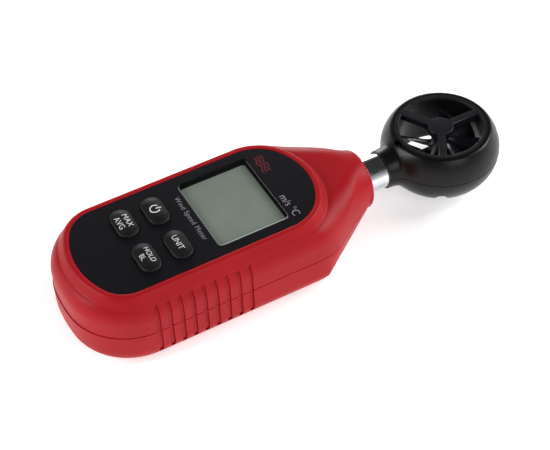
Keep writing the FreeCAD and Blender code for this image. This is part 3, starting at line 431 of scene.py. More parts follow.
def upper_skin(sizes):
    """Right half of the upper case as a grid of columns (tail centre, round the tail,
    along the flank, to the neck end) by rows (joint line, wall, edge, top to the centre)."""
    fan = np.linspace(0, math.pi / 2, FAN_COUNT)[:-1]
    sides = side_columns()
    start_y = np.concatenate([np.full(len(fan), FAN_Y), sides])
    heading = np.stack([np.concatenate([np.sin(fan), np.ones(len(sides))]),
                        np.concatenate([-np.cos(fan), np.zeros(len(sides))]),
                        np.zeros(len(start_y))], axis=1)
    origin = np.stack([np.zeros(len(start_y)), start_y, np.full(len(start_y), AXIS_Z)], axis=1)

    def form(p):
        return case_form(p, sizes)

    width = reach(form, origin, heading)
    half_seam = sizes.seam * TO_MM / 2
    ray_inset, ray_drop = 4.2, 6.2
    wall = np.concatenate([[PARTING_Z + half_seam + 0.02], np.linspace(PARTING_Z + 0.5, 19.0, 10)])
    turn = np.linspace(0.0, math.pi / 2, 22)
    inset = np.concatenate([np.zeros(len(wall)), ray_inset * (1 - np.cos(turn))])
    height = np.concatenate([wall, CASE_TOP - ray_drop + ray_drop * np.sin(turn)])
    share = np.linspace(1, 0, 34)[1:]
    narrowed = np.minimum(1, width / 16)[:, None]
    across = np.concatenate([width[:, None] - inset[None] * narrowed,
                             (width[:, None] - ray_inset * narrowed) * share[None]], axis=1)
    height = np.concatenate([height, np.full(len(share), CASE_TOP)])
    ray = heading[:, None] * across[..., None]
    ray[..., 2] = height[None] - AXIS_Z
    ray /= np.linalg.norm(ray, axis=-1, keepdims=True)
    distance = reach(form, origin[:, None], ray)
    skin = origin[:, None] + distance[..., None] * ray

    step = 1e-3
    slope = np.stack([form(skin + np.eye(3)[k] * step) - form(skin - np.eye(3)[k] * step)
                      for k in range(3)], axis=-1)
    slope /= np.maximum(np.linalg.norm(slope, axis=-1, keepdims=True), 1e-9)
    y, z = skin[..., 1], skin[..., 2]
    centre = GROOVE_FIRST + GROOVE_PITCH * np.clip(np.round((y - GROOVE_FIRST) / GROOVE_PITCH),
                                                   0, GROOVE_COUNT - 1)
    past = np.maximum(z - (GROOVE_TOP - GROOVE_HALF), 0)
    gap = np.hypot(y - centre, past) - GROOVE_HALF
    sunk = sizes.groove_depth * TO_MM * (1 - eased(gap, -0.13, 0.08))
    skin = skin - slope * sunk[..., None]

    past_round = np.maximum(skin[..., 1] - (NECK_Y - NECK_END_ROUND), 0)
    rounding = NECK_END_ROUND - np.sqrt(np.maximum(NECK_END_ROUND ** 2 - past_round ** 2, 0))
    spoke = skin - np.stack([np.zeros_like(y), y, np.full_like(y, AXIS_Z)], axis=-1)
    radius = np.maximum(np.linalg.norm(spoke, axis=-1, keepdims=True), 1e-9)
    at_end = start_y[:, None, None] > NECK_Y - NECK_END_ROUND
    skin = skin - np.where(at_end, spoke / radius * rounding[..., None], 0)

    seam_row = skin[:, :1].copy()
    seam_row[..., 2] = PARTING_Z + half_seam
    inward = heading[:, None] * sizes.seam * TO_MM
    foot = seam_row - inward
    base = foot.copy()
    base[..., 2] = PARTING_Z
    skin = np.concatenate([base, foot, seam_row, skin], axis=1)

    last = skin[-1:].copy()
    arm = last - np.array([0, NECK_Y, AXIS_Z])
    reach_out = np.maximum(np.linalg.norm(arm, axis=-1, keepdims=True), 1e-9)
    ends = [np.array([0, NECK_Y, AXIS_Z]) + arm / reach_out * r for r in (SOCKET_STEP_R, SOCKET_R)]
    return np.concatenate([skin] + ends, axis=0)


def upper_case_mesh(sizes):
    """Both halves of the skin, open under the display panel."""
    skin = upper_skin(sizes)
    columns, rows = skin.shape[:2]
    quads = grid_quads(columns, rows)
    left = skin * np.array([-1.0, 1.0, 1.0])
    points = np.concatenate([skin.reshape(-1, 3), left.reshape(-1, 3)])
    quads = np.concatenate([quads, quads[:, ::-1] + columns * rows])
    corner = points[quads]
    hidden = (panel_gap(corner[..., 0], corner[..., 1]) < 0.9) & (corner[..., 2] > 20)
    return new_mesh("upper_case_shell", points, quads[~hidden.all(axis=1)])


def rim_mesh(sizes):
    """Raised rim: inner wall, flat top, and an outer side that falls to the case along a
    smooth step, steepest half way."""
    outline, outward = panel_outline()
    width, flare = sizes.rim_width * TO_MM, sizes.rim_flare * TO_MM
    fixed = [(0.0, PANEL_TOP - 2.6), (0.0, PANEL_TOP - 0.2), (0.05, PANEL_TOP - 0.06), (0.2, PANEL_TOP)]
    rows = [np.repeat([[o, z]], len(outline), 0) for o, z in fixed]
    for share in np.linspace(0, 1, 17):
        offset = width - RIM_ROUND + (flare + RIM_ROUND) * share
        spot = outline + outward * offset
        origin = np.stack([spot[:, 0], spot[:, 1], np.full(len(spot), AXIS_Z)], axis=1)
        up = np.repeat([[0.0, 0.0, 1.0]], len(spot), 0)
        body = AXIS_Z + reach(lambda p: case_form(p, sizes), origin, up, 20.0)
        lift = (PANEL_TOP - body) * (1 - eased(share ** 0.9, 0.0, 1.0))
        rows.append(np.stack([np.full(len(spot), offset), body + lift - 0.06 * share ** 3], axis=1))
    low = rows[-1].copy()
    low[:, 1] -= 0.9
    rows.append(low)
    rows.append(np.repeat([[0.0, PANEL_TOP - 3.4]], len(outline), 0))
    points = loop_sweep(outline, outward, np.array(rows))
    return new_mesh("panel_rim", points, grid_quads(len(rows), len(outline), True, True))


def seat_mesh():
    """The tray under the display panel, as the CAD has it: its top, its underside and
    the walls of the window and key openings."""
    data = solid_copy("upper_case")
    data.name = "panel_tray"
    seat_top = PANEL_LOW[2]
    with edited(data) as work:
        places = np.array([v.co for v in work.verts]) * TO_MM
        keep = (panel_gap(places[:, 0], places[:, 1]) < 0.02) & (places[:, 2] > seat_top - 2.05)
        keep &= places[:, 2] < seat_top + 0.02
        bmesh.ops.delete(work, geom=[v for v, k in zip(work.verts, keep) if not k], context="VERTS")
    return data


def polariser_mesh():
    """Front glass of the display: fills the opening behind the lens, just clear of both."""
    inset = LENS_LEDGE + 0.1
    outline, outward = rounded_rectangle(LENS_LOW[0] + inset, LENS_HIGH[0] - inset,
                                         LENS_LOW[1] + inset, LENS_HIGH[1] - inset, 1.2)
    low, high = cad_box("lcd_glass")[1][2] + 0.02, LENS_LOW[2] - 0.4
    middle = (LENS_LOW + LENS_HIGH) / 2
    side = loop_sweep(outline, outward, [(0.0, low), (0.0, high - 0.1), (-0.1, high)])
    under = np.broadcast_to([middle[0], middle[1], low], side[:1].shape)
    over = np.broadcast_to([middle[0], middle[1], high], side[:1].shape)
    points = np.concatenate([under, side, over])
    return new_mesh("display_front_glass", points, grid_quads(len(points), len(outline), False, True))


# ---- keys and printing
KIND_WIDTH = 21.0
KIND_BELOW_LENS = 2.5
UNITS_WIDTH = 9.8
UNITS_X = 10.8
UNITS_ABOVE_LENS = 2.3
WAVE_ENDS = (-13.8, -6.0)
WAVE_HEIGHT = 0.42
WAVE_PITCH = 1.15
WAVES_ABOVE_LENS = 2.4
STROKE = 0.42
POWER_STROKE = 0.40
POWER_R = 1.55
LEGENDS = {
    "unit_button": ("UNIT", 6.2),
    "max_avg_button": ("MAX\nAVG", 5.7),
    "hold_button": ("HOLD\nBL", 6.5),
}


def obround_outline(length_mm, width_mm, x, y, count=20):
    """Closed slot outline, long along X, and its outward directions."""
    straight = (length_mm - width_mm) / 2
    turn = np.linspace(-math.pi / 2, math.pi / 2, count)
    right = np.stack([np.cos(turn), np.sin(turn)], axis=1)
    left = -right
    points = np.concatenate([[x + straight, y] + right * width_mm / 2,
                             [x - straight, y] + left * width_mm / 2])
    return points, np.concatenate([right, left])


def key_profile(sizes, top, skirt, flange):
    """Rows of a key from under its flange to its crown: offset outwards and height."""
    dome = sizes.key_dome * TO_MM
    half = flange[2]
    edge = top - dome
    turn = np.linspace(0, math.pi / 2, 10)
    rows = [(-half, flange[0]), (KEY_FLANGE, flange[0]), (KEY_FLANGE, flange[1]), (0.0, flange[1])]
    rows += [(0.0, skirt)]
    in_by, down_by = KEY_EDGE
    rows += [(-in_by * (1 - math.cos(t)), edge - down_by + down_by * math.sin(t)) for t in turn]
    inner = np.linspace(in_by, half, 9)[1:]
    rows += [(-d, key_height(top, dome, half, half - d)) for d in inner]
    return rows


def key_height(top, dome, half, from_spine):
    """Crown height at a distance from the key's spine."""
    return top - dome * (np.clip(from_spine / (half - KEY_EDGE[0]), 0, 1.2)) ** 2


def key_mesh(node, sizes):
    """Key cap with its flange, as large as its CAD node."""
    low, high = cad_box(node)
    middle = (low + high) / 2
    length_mm, width_mm = high[0] - low[0] - 2 * KEY_FLANGE, high[1] - low[1] - 2 * KEY_FLANGE
    outline, outward = obround_outline(length_mm, width_mm, middle[0], middle[1])
    flange = (low[2], low[2] + 1.4, width_mm / 2)
    rows = key_profile(sizes, high[2], PANEL_TOP + 0.2, flange)
    points = loop_sweep(outline, outward, rows)
    return new_mesh(node + "_cap", points, grid_quads(len(rows), len(outline), False, True))


def letters(name, text, width_mm, spot, height, sizes, gap=0.9, thin=0.0, spacing=1.0):
    """Text as a thin raised print: its width, the place of its middle, and a function
    that gives the height of the surface under each point.  thin draws the strokes in,
    as a share of the letter height, and spacing spreads the letters."""
    curve = bpy.data.curves.new(name + "_text", "FONT")
    curve.body = text
    curve.align_x = "CENTER"
    curve.align_y = "CENTER"
    curve.space_line = gap
    curve.extrude = 0.01
    curve.offset = -thin
    curve.space_character = spacing
    holder = placed(name + "_text", curve)
    bpy.context.view_layer.update()
    shape = holder.evaluated_get(bpy.context.evaluated_depsgraph_get())
    data = bpy.data.meshes.new_from_object(shape)
    bpy.data.objects.remove(holder)
    bpy.data.curves.remove(curve)
    data.name = name
    co = np.zeros(len(data.vertices) * 3)
    data.vertices.foreach_get("co", co)
    co = co.reshape(-1, 3)
    low, high = co[:, :2].min(0), co[:, :2].max(0)
    flat = (co[:, :2] - (low + high) / 2) * (width_mm / (high[0] - low[0])) + np.array(spot)
    data.vertices.foreach_set("co", np.column_stack([flat, co[:, 2]]).ravel())
    cut_across(data, flat[:, 1].min(), flat[:, 1].max())
    co = np.zeros(len(data.vertices) * 3)
    data.vertices.foreach_get("co", co)
    co = co.reshape(-1, 3)
    level = height(co[:, 0], co[:, 1]) + sizes.ink * TO_MM * np.sign(co[:, 2])
    data.vertices.foreach_set("co", (np.column_stack([co[:, :2], level]) * TO_M).ravel())
    data.update()
    clean(data, 1e-7)
    return data


def cut_across(data, start, end, step=0.3):
    """Extra edges across a flat mesh, so that it can follow a crowned surface."""
    with edited(data) as work:
        for y in np.arange(start + step / 2, end, step):
            bmesh.ops.bisect_plane(work, geom=work.verts[:] + work.edges[:] + work.faces[:],
                                   plane_co=(0, y, 0), plane_no=(0, 1, 0))


def ribbon(name, path, width_mm, height, sizes):
    """A printed stroke: a band of one width along a path, with its under side."""
    path = np.asarray(path, float)
    way = np.gradient(path, axis=0)
    way /= np.linalg.norm(way, axis=1, keepdims=True)
    across = np.stack([-way[:, 1], way[:, 0]], axis=1) * width_mm / 2
    loops = []
    ink = sizes.ink * TO_MM
    for offset, side in ((-1, -1), (1, -1), (1, 1), (-1, 1)):
        flat = path + across * offset
        loops.append(np.column_stack([flat, height(flat[:, 0], flat[:, 1]) + ink * side]))
    points = np.array(loops)
    quads = grid_quads(4, len(path), True, False)
    count = len(path)
    caps = np.array([[0, count, 2 * count, 3 * count],
                     [count - 1, 2 * count - 1, 3 * count - 1, 4 * count - 1]])
    return new_mesh(name, points, np.concatenate([quads, caps]))


def joined_mesh(name, parts):
    """One mesh of several, which are used up."""
    whole = bpy.data.meshes.new(name)
    with edited(whole) as work:
        for data in parts:
            work.from_mesh(data)
            bpy.data.meshes.remove(data)
    return whole


# ---- head

FACE_R = 16.85
SEAT_R = 15.65
DUCT_R = 14.2
SEAT_DEPTH = 1.2
BULGE_CENTRE = 6.7
COLLAR_R = 6.7
SEAM_DEPTH = 0.12         # half height of the joint line
HEAD_SCREW_R = 16.9       # radius of the circle that the three screws stand on
HEAD_RECESS_R = 2.15
HEAD_RECESS_DEPTH = 3.6
BLADE_COUNT = 8
BLADE_ROOT = 2.6


def head_height(x, y, sizes):
    """Height of the head's outer face above its mid plane, and the squared height it
    comes from.  The disc is an arc of revolution and the collar a round trumpet; their
    squared heights are eased together, and the flat face cuts them off."""
    r = np.hypot(x, y)
    bulge = HEAD_R - BULGE_CENTRE
    disc = bulge ** 2 - (r - BULGE_CENTRE) ** 2
    along = np.clip((y + HEAD_Y - MOUTH_Y) / 8.5, 0, 1.6)
    trumpet = COLLAR_R + sizes.collar_flare * TO_MM * along ** 2
    collar = np.where(y < -8, trumpet ** 2 - x ** 2, -400.0)
    squared = soft_max(disc, collar, 30.0)
    raised = np.sqrt(np.maximum(squared, 0))
    return -soft_max(-raised, np.full_like(raised, -HEAD_HALF), 0.5), squared


def head_mesh(name, up, sizes):
    """Half of the head: a polar grid about the duct, from the duct wall over the guard
    seat, the face and the bulging side to the joint plane."""
    mouth = MOUTH_Y - HEAD_Y
    edge = math.atan2(COLLAR_R, -mouth)
    down = -math.pi / 2
    around = np.concatenate([np.linspace(down - edge, down + edge, 41),
                             np.linspace(down + edge, down - edge + 2 * math.pi, 240)[1:-1]])
    heading = np.stack([np.cos(around), np.sin(around)], axis=1)
    low, high = np.full(len(around), 17.0), np.full(len(around), 26.0)
    for _ in range(40):
        middle = (low + high) / 2
        spot = heading * middle[:, None]
        inside = (head_height(spot[:, 0], spot[:, 1], sizes)[1] > 0) & (spot[:, 1] > mouth)
        low, high = np.where(inside, middle, low), np.where(inside, high, middle)
    border = low
    share = np.linspace(0, 1, 30)
    r = border[None] - (border[None] - FACE_R + 0.3) * (1 - share[:, None]) ** 2
    flat = heading[None] * r[..., None]
    raised, _ = head_height(flat[..., 0], flat[..., 1], sizes)
    seam = SEAM_DEPTH
    raised = np.maximum(raised, seam + 0.002 * (1 - share[:, None]))
    rows = [np.concatenate([flat, raised[..., None]], axis=-1)]
    last = rows[0][-1]
    drop = np.concatenate([last[:, :2], np.full((len(last), 1), seam)], axis=1)
    pulled = np.concatenate([heading * (border - 0.18)[:, None], np.full((len(last), 1), seam)], axis=1)
    floor = pulled * [1, 1, 0]
    rows.append(np.array([drop, pulled, floor]))
    inner = []
    for radius, level in ((FACE_R - 0.4, HEAD_HALF), (SEAT_R, HEAD_HALF), (SEAT_R, HEAD_HALF - SEAT_DEPTH),
                          (DUCT_R, HEAD_HALF - SEAT_DEPTH), (DUCT_R, 0.0)):
        inner.append(np.concatenate([heading * radius, np.full((len(around), 1), level)], axis=1))
    points = np.concatenate([np.array(inner[::-1])] + rows)
    points[..., 2] = AXIS_Z + (1 if up else -1) * points[..., 2]
    points[..., 1] += HEAD_Y
    return new_mesh(name, points, grid_quads(len(points), len(around), True, True))


def lathe(profile, x, y, count=64):
    """Profile of (radius, height) turned about an upright axis; it is closed on itself."""
    profile = np.asarray(profile, float)
    around = np.linspace(0, 2 * math.pi, count, endpoint=False)
    ring = np.stack([np.cos(around), np.sin(around)], axis=1)
    flat = profile[:, None, :1] * ring[None] + np.array([x, y])
    return np.concatenate([flat, np.repeat(profile[:, None, 1:], count, axis=1)], axis=-1)


def cutter(points):
    """Closed solid to be cut away from a blank."""
    data = new_mesh("cutter", points, grid_quads(points.shape[0], points.shape[1], False, True))
    return placed("cutter", data)


def carved(data, tools):
    """Mesh less the tools, which are used up."""
    obj = placed("blank", data)
    for tool in tools:
        cut = obj.modifiers.new("cut", "BOOLEAN")
        cut.operation = "DIFFERENCE"
        cut.solver = "EXACT"
        cut.object = tool
    bpy.context.view_layer.update()
    shape = obj.evaluated_get(bpy.context.evaluated_depsgraph_get())
    result = bpy.data.meshes.new_from_object(shape)
    name = data.name
    for item in [obj] + tools:
        used = item.data
        bpy.data.objects.remove(item)
        bpy.data.meshes.remove(used)
    result.name = name
    return result


def blade_points(turn, sizes):
    """One blade: a lens-shaped section, cambered, whose pitch eases from root to tip."""
    tip = ROTOR_HIGH[0] - 0.05
    span = np.linspace(BLADE_ROOT, tip, 18)
    around = np.linspace(0, 2 * math.pi, 28, endpoint=False)
    grow = (span - span[0]) / (span[-1] - span[0])
    chord = 7.0 + 2.6 * grow
    pitch = np.radians(62.0 - 18.0 * grow)
    along = 0.5 * chord[:, None] * np.cos(around)[None]
    full = sizes.blade_thickness * TO_MM / 2
    thick = full * np.sin(around) * (1 - 0.35 * np.cos(around) ** 4)
    bow = 0.07 * chord[:, None] * (1 - np.cos(around)[None] ** 2)
    across = thick[None] + bow
    swing = along * np.cos(pitch)[:, None] - across * np.sin(pitch)[:, None]
    rise = along * np.sin(pitch)[:, None] + across * np.cos(pitch)[:, None]
    radius = span[:, None] * np.ones_like(swing)
    angle = turn + swing / np.maximum(radius, 5.0)
    half = (ROTOR_HIGH[2] - ROTOR_LOW[2]) / 2
    return np.stack([radius * np.cos(angle), HEAD_Y + radius * np.sin(angle),
                     AXIS_Z + np.clip(rise, -half + 0.2, half - 0.2)], axis=-1)


def impeller_mesh(sizes):
    """Hub with a domed nose and eight blades."""
    low, high = ROTOR_LOW[2], ROTOR_HIGH[2]
    turn = np.linspace(0, math.pi / 2, 8)
    hub = [(0.5, low + 1.2), (2.2, low + 1.2), (2.2, low), (2.7, low), (3.0, low + 0.3), (3.0, high - 1.6)]
    hub += [(1.4 + 1.6 * math.cos(t), high - 1.2 + 1.2 * math.sin(t)) for t in turn]
    hub += [(0.5, high)]
    points = lathe(hub, 0.0, HEAD_Y)
    parts = [new_mesh("hub", points, grid_quads(points.shape[0], points.shape[1], True, True))]
    for k in range(BLADE_COUNT):
        blade = blade_points(2 * math.pi * k / BLADE_COUNT, sizes)
        spans, around = blade.shape[:2]
        middle = blade.mean(axis=1, keepdims=True).repeat(around, axis=1)
        closed = np.concatenate([middle[:1], blade, middle[-1:]])
        parts.append(new_mesh("blade", closed, grid_quads(spans + 2, around, False, True)))
    return joined_mesh("impeller_wheel", parts)


# ---- materials

def add_node(tree, kind, inputs=None, links=None, **settings):
    """Adds one node: settings, socket values, and links from other nodes' outputs."""
    node = tree.nodes.new(kind)
    for name, value in settings.items():
        setattr(node, name, value)
    for socket, value in (inputs or {}).items():
        node.inputs[socket].default_value = value
    for socket, source in (links or {}).items():
        tree.links.new(source, node.inputs[socket])
    return node


def finish(name, light, dark, roughness, grain, relief, patch, spread=0.05, stretch=(1, 1, 1), **shader):
    """A finish with two close colours in soft patches, a surface grain of a real size in
    millimetres and a relief in millimetres, and roughness that varies by spread."""
    material = bpy.data.materials.new(name)
    material.use_nodes = True
    tree = material.node_tree
    tree.nodes.clear()
    place = add_node(tree, "ShaderNodeTexCoord")
    turned = add_node(tree, "ShaderNodeMapping", {"Scale": stretch}, {"Vector": place.outputs["Object"]})
    patches = add_node(tree, "ShaderNodeTexNoise", {"Scale": TO_MM / patch, "Detail": 3.0, "Roughness": 0.55},
                       {"Vector": place.outputs["Object"]})
    tint = add_node(tree, "ShaderNodeValToRGB", links={"Fac": patches.outputs["Fac"]})
    tint.color_ramp.elements[0].position = 0.35
    tint.color_ramp.elements[0].color = (*dark, 1.0)
    tint.color_ramp.elements[1].position = 0.65
    tint.color_ramp.elements[1].color = (*light, 1.0)
    fine = add_node(tree, "ShaderNodeTexNoise", {"Scale": TO_MM / grain, "Detail": 3.0, "Roughness": 0.6},
                    {"Vector": turned.outputs["Vector"]})
    bump = add_node(tree, "ShaderNodeBump", {"Strength": 1.0, "Distance": relief * TO_M},
                    {"Height": fine.outputs["Fac"]})
    rough = add_node(tree, "ShaderNodeMapRange", {"From Min": 0.3, "From Max": 0.7,
                                                  "To Min": max(roughness - spread, 0.02),
                                                  "To Max": roughness + spread},
                     {"Value": fine.outputs["Fac"]})
    shade = add_node(tree, "ShaderNodeBsdfPrincipled", shader,
                     {"Base Color": tint.outputs["Color"], "Roughness": rough.outputs["Result"],
                      "Normal": bump.outputs["Normal"]})
    add_node(tree, "ShaderNodeOutputMaterial", links={"Surface": shade.outputs["BSDF"]})
    return material


# Each finish: the name of its material, its colour and a deeper shade, roughness, then the size of the
# grain, the relief and the size of the patches in millimetres, and what else differs from the usual.
# A colour is a hex code or one of the colours that the user may change.
RECIPES = {
    # ABS moulded in a spark-eroded tool: satin, with a fine even grain.
    "abs_red": ("abs_red_moulded", "case_red", "case_red_deep", 0.42, 0.55, 0.006, 22.0,
                {"IOR": 1.5, "Specular IOR Level": 0.14}),
    # The same ABS in black, slightly smoother, for the vane head.
    "abs_black": ("abs_black_moulded", "head_black", "#0A0908", 0.30, 0.5, 0.002, 9.0,
                  {"IOR": 1.5, "Specular IOR Level": 0.24}),
    # Polycarbonate overlay with a fine matt top coat.
    "overlay": ("polycarbonate_overlay_printed", "panel_black", "#0F0E13", 0.36, 0.3, 0.001, 16.0,
                {"IOR": 1.58, "Specular IOR Level": 0.16}),
    # Silicone rubber keys: dull, with a dusty speckle.
    "rubber": ("silicone_rubber_keys", "key_black", "#0C0B0B", 0.52, 0.4, 0.014, 0.9,
               {"IOR": 1.43, "Specular IOR Level": 0.3}),
    # Glass-filled nylon guards: faint flow marks.
    "nylon": ("nylon_guard_moulded", "guard_grey", "#151217", 0.36, 0.5, 0.005, 5.0,
              {"IOR": 1.53, "Specular IOR Level": 0.28}),
    # Acetal of the impeller: smooth and a little glossy.
    "rotor": ("acetal_impeller_moulded", "rotor_dark", "#14141C", 0.24, 0.8, 0.004, 4.0, {"IOR": 1.48}),
    # Nickel-chrome plate on a drawn tube: mirror bright, faint drawing lines along it.
    "chrome": ("brass_tube_chrome_plated", "#E6E8EB", "#D6D9DD", 0.07, 0.35, 0.0008, 6.0,
               {"spread": 0.025, "stretch": (1, 0.08, 1), "Metallic": 1.0}),
    # Hardware: zinc-plated screws, nickel-plated springs, turned brass bushes, a ground shaft.
    "steel": ("steel_zinc_plated", "#B9BCC0", "#9FA3A8", 0.30, 0.4, 0.003, 3.0, {"Metallic": 1.0}),
    "spring": ("spring_steel_nickel_plated", "#C9CBCD", "#B3B5B8", 0.22, 0.3, 0.002, 2.0,
               {"Metallic": 1.0}),
    "brass": ("brass_turned", "#B08D4A", "#987638", 0.28, 0.3, 0.002, 1.5, {"Metallic": 1.0}),
    "shaft": ("steel_ground", "#C4C7CB", "#AEB2B7", 0.16, 0.2, 0.001, 1.0, {"Metallic": 1.0}),
    # Sintered ferrite, pressed and left dull.
    "magnet": ("ferrite_magnet_pressed", "#34363A", "#27292C", 0.55, 0.2, 0.006, 1.0, {}),
    # Cell in a shrunk, printed PVC sleeve: glossy, faintly creased.
    "cell": ("battery_sleeve_pvc", "#3A5F8F", "#31537E", 0.26, 1.2, 0.01, 7.0, {"IOR": 1.53}),
    # Inner parts: moulded diffuser, layered elastomer, etched board, moulded chips, sleeved lead.
    "white": ("polystyrene_diffuser_white", "#F0F0EA", "#E4E4DC", 0.5, 0.5, 0.004, 14.0, {}),
    "elastomer": ("zebra_elastomer_pink", "#B98F8F", "#6B4A4A", 0.6, 0.25, 0.01, 0.6, {}),
    "board": ("fibreglass_board_green", "#1F6B3B", "#175530", 0.34, 0.35, 0.01, 1.6, {"IOR": 1.52}),
    "chip": ("epoxy_package_black", "#1C1C1E", "#131314", 0.55, 0.12, 0.006, 1.2, {}),
    "glass_bead": ("thermistor_bead_epoxy", "#2A2420", "#1C1815", 0.18, 0.4, 0.004, 0.8, {}),
    "lead": ("silicone_lead_sleeve", "#2B2B2E", "#202023", 0.5, 0.4, 0.01, 2.0, {}),
    # Screen inks, just proud of the surface.
    "ink_white": ("screen_ink_white", "print_white", "#DCDCDE", 0.5, 0.15, 0.002, 0.8, {}),
    "ink_grey": ("screen_ink_grey", "#9E9EA4", "#929298", 0.5, 0.15, 0.002, 0.8, {}),
    "ink_red": ("screen_ink_dark_red", "print_red", "#61161C", 0.45, 0.15, 0.002, 0.8, {}),
    # Reflective twisted-nematic display, off: grey-green with a fine frosted polariser.
    "display": ("liquid_crystal_polariser", "display_grey", "#929D92", 0.42, 0.25, 0.002, 9.0,
                {"IOR": 1.5, "Specular IOR Level": 0.3}),
    # Cast acrylic, clear and glossy: seen only by its reflections.
    "lens": ("acrylic_lens_clear", "#2A2F2C", "#252A27", 0.05, 4.0, 0.002, 12.0,
             {"spread": 0.02, "IOR": 1.49, "Alpha": 0.1}),
    # The polished bevel of the same clear lens is coloured pale: a painted highlight that stands in for the
    # light it catches, seen as a pale line.
    "lens_edge_painted_highlight": ("acrylic_lens_bevel", "#C4CCC6", "#B4BDB6", 0.12, 2.0, 0.002, 6.0,
                  {"spread": 0.04, "IOR": 1.49, "Alpha": 0.8}),
}


def make_finishes(colours):
    """All the finishes, by what they are."""
    def shade(code):
        return linear(code) if code.startswith("#") else tuple(getattr(colours, code))

    return {key: finish(name, shade(light), shade(dark), *numbers, **other)
            for key, (name, light, dark, *numbers, other) in RECIPES.items()}


# ---- operators

class AnemometerBuilder:
    """What the build operators share."""

    bl_options = {"REGISTER"}

    def execute(self, context):
        scene = context.scene
        if not FINISHES:
            FINISHES.update(make_finishes(scene.anemometer_colours))
        self.build(scene.anemometer_sizes)
        return {"FINISHED"}


FINISHES = {}


def shown(node, finish_name):
    """Gives a CAD node that stays in view its finish."""
    for place in NODES[node].material_slots:
        place.material = FINISHES[finish_name]


class ANEMOMETER_OT_case(AnemometerBuilder, bpy.types.Operator):
    """Upper and lower case, rim, panel tray and battery door"""

    bl_idname = "anemometer.case"
    bl_label = "Case"

    def build(self, sizes):
        red = FINISHES["abs_red"]
        upper = piece(upper_case_mesh(sizes), "instrument", red, ("upper_case",), 40.0)
        wall = upper.modifiers.new("wall", "SOLIDIFY")
        wall.thickness = sizes.shell
        wall.offset = -1.0
        piece(rim_mesh(sizes), "instrument", red, (), 50.0)
        # The tray is cut from the red upper case but gets the black finish: painted shade in the walls of the
        # window and key openings.
        piece(seat_mesh(), "instrument", FINISHES["abs_black"])
        finished_node("lower_case", "lower_case_shell", red)
        finished_node("battery_door", "battery_cover", red)


class ANEMOMETER_OT_panel(AnemometerBuilder, bpy.types.Operator):
    """Display panel, window, display and printing"""

    bl_idname = "anemometer.panel"
    bl_label = "Display panel"

    def build(self, sizes):
        finished_node("front_panel", "panel_overlay", FINISHES["overlay"])
        lens = finished_node("display_window", "window_lens", FINISHES["lens"], 10.0)
        # The sloped bevel faces get the pale second finish: a painted highlight line round the window.
        lens.data.materials.append(FINISHES["lens_edge_painted_highlight"])
        tilt = np.zeros(len(lens.data.polygons) * 3)
        lens.data.polygons.foreach_get("normal", tilt)
        painted_highlight_faces = np.abs(np.abs(tilt.reshape(-1, 3)[:, 2]) - 0.7) < 0.2
        lens.data.polygons.foreach_set("material_index", painted_highlight_faces.astype(np.int32))
        shown("lcd_glass", "display")
        piece(polariser_mesh(), "instrument", FINISHES["display"])

        def top(x, _):
            return np.full_like(x, PANEL_TOP)

        label_spot = (0.0, LENS_LOW[1] - KIND_BELOW_LENS)
        label = letters("label_kind", "Wind Speed Meter", KIND_WIDTH, label_spot, top, sizes, thin=0.012,
                        spacing=1.12)
        piece(label, "instrument", FINISHES["ink_grey"])
        units_spot = (UNITS_X, LENS_HIGH[1] + UNITS_ABOVE_LENS)
        units = letters("label_units", "m/s °C", UNITS_WIDTH, units_spot, top, sizes, thin=0.008)
        piece(units, "instrument", FINISHES["ink_grey"])
        x = np.linspace(*WAVE_ENDS, 40)
        swell = WAVE_HEIGHT * np.sin((x - WAVE_ENDS[0]) * 1.6)
        first = LENS_HIGH[1] + WAVES_ABOVE_LENS
        waves = [ribbon("wave", np.column_stack([x, first + k * WAVE_PITCH + swell]), STROKE, top, sizes)
                 for k in range(3)]
        piece(joined_mesh("emblem_waves", waves), "instrument", FINISHES["ink_red"])


class ANEMOMETER_OT_keys(AnemometerBuilder, bpy.types.Operator):
    """Four rubber keys and their legends"""

    bl_idname = "anemometer.keys"
    bl_label = "Keys"

    def build(self, sizes):
        for node in KEY_NODES:
            body = node + "_body"
            piece(key_mesh(node, sizes), body, FINISHES["rubber"], (node,), 50.0)
            low, high = cad_box(node)
            middle = (low + high) / 2
            width = (high[1] - low[1]) / 2 - KEY_FLANGE
            spine = (high[0] - low[0] - (high[1] - low[1])) / 2

            def crown(x, y, middle=middle, width=width, spine=spine):
                away = np.hypot(np.maximum(np.abs(x - middle[0]) - spine, 0), y - middle[1])
                return key_height(KEY_TOP, sizes.key_dome * TO_MM, width, away)

            if node in LEGENDS:
                text, size = LEGENDS[node]
                data = letters("legend_" + node, text, size, middle[:2], crown, sizes, 1.02, 0.006)
            else:
                turn = np.radians(np.linspace(125.0, 415.0, 40))
                ring = np.column_stack([np.cos(turn), np.sin(turn)]) * POWER_R + middle[:2]
                bar = np.linspace(middle[:2] + [0, 0.3], middle[:2] + [0, 2.1], 6)
                data = joined_mesh("legend_" + node, [ribbon("ring", ring, POWER_STROKE, crown, sizes),
                                                      ribbon("bar", bar, POWER_STROKE, crown, sizes)])
            piece(data, body, FINISHES["ink_white"])


class ANEMOMETER_OT_neck(AnemometerBuilder, bpy.types.Operator):
    """Plated neck tube"""

    bl_idname = "anemometer.neck"
    bl_label = "Neck tube"

    def build(self, sizes):
        start, end = TUBE_LOW[1], TUBE_HIGH[1]
        bare, bore, flange = TUBE_BARE, TUBE_BORE, TUBE_HIGH[0]
        grip = MOUTH_Y + 2.0
        profile = [(bore, start), (bare - 0.15, start), (bare, start + 0.15), (bare, start + 2.2),
                   (flange, start + 2.2), (flange, start + 4.2), (bare, start + 4.2), (bare, grip),
                   (bare - 0.6, grip), (bare - 0.6, grip + 1.0), (bare, grip + 1.0), (bare, end - 0.15),
                   (bare - 0.15, end), (bore, end)]
        points = lathe(profile, 0.0, 0.0, 144)[..., [0, 2, 1]] + np.array([0.0, 0.0, AXIS_Z])
        data = new_mesh("neck_tube_plated", points, grid_quads(len(profile), 144, True, True))
        piece(data, "instrument", FINISHES["chrome"], ("neck_tube",))


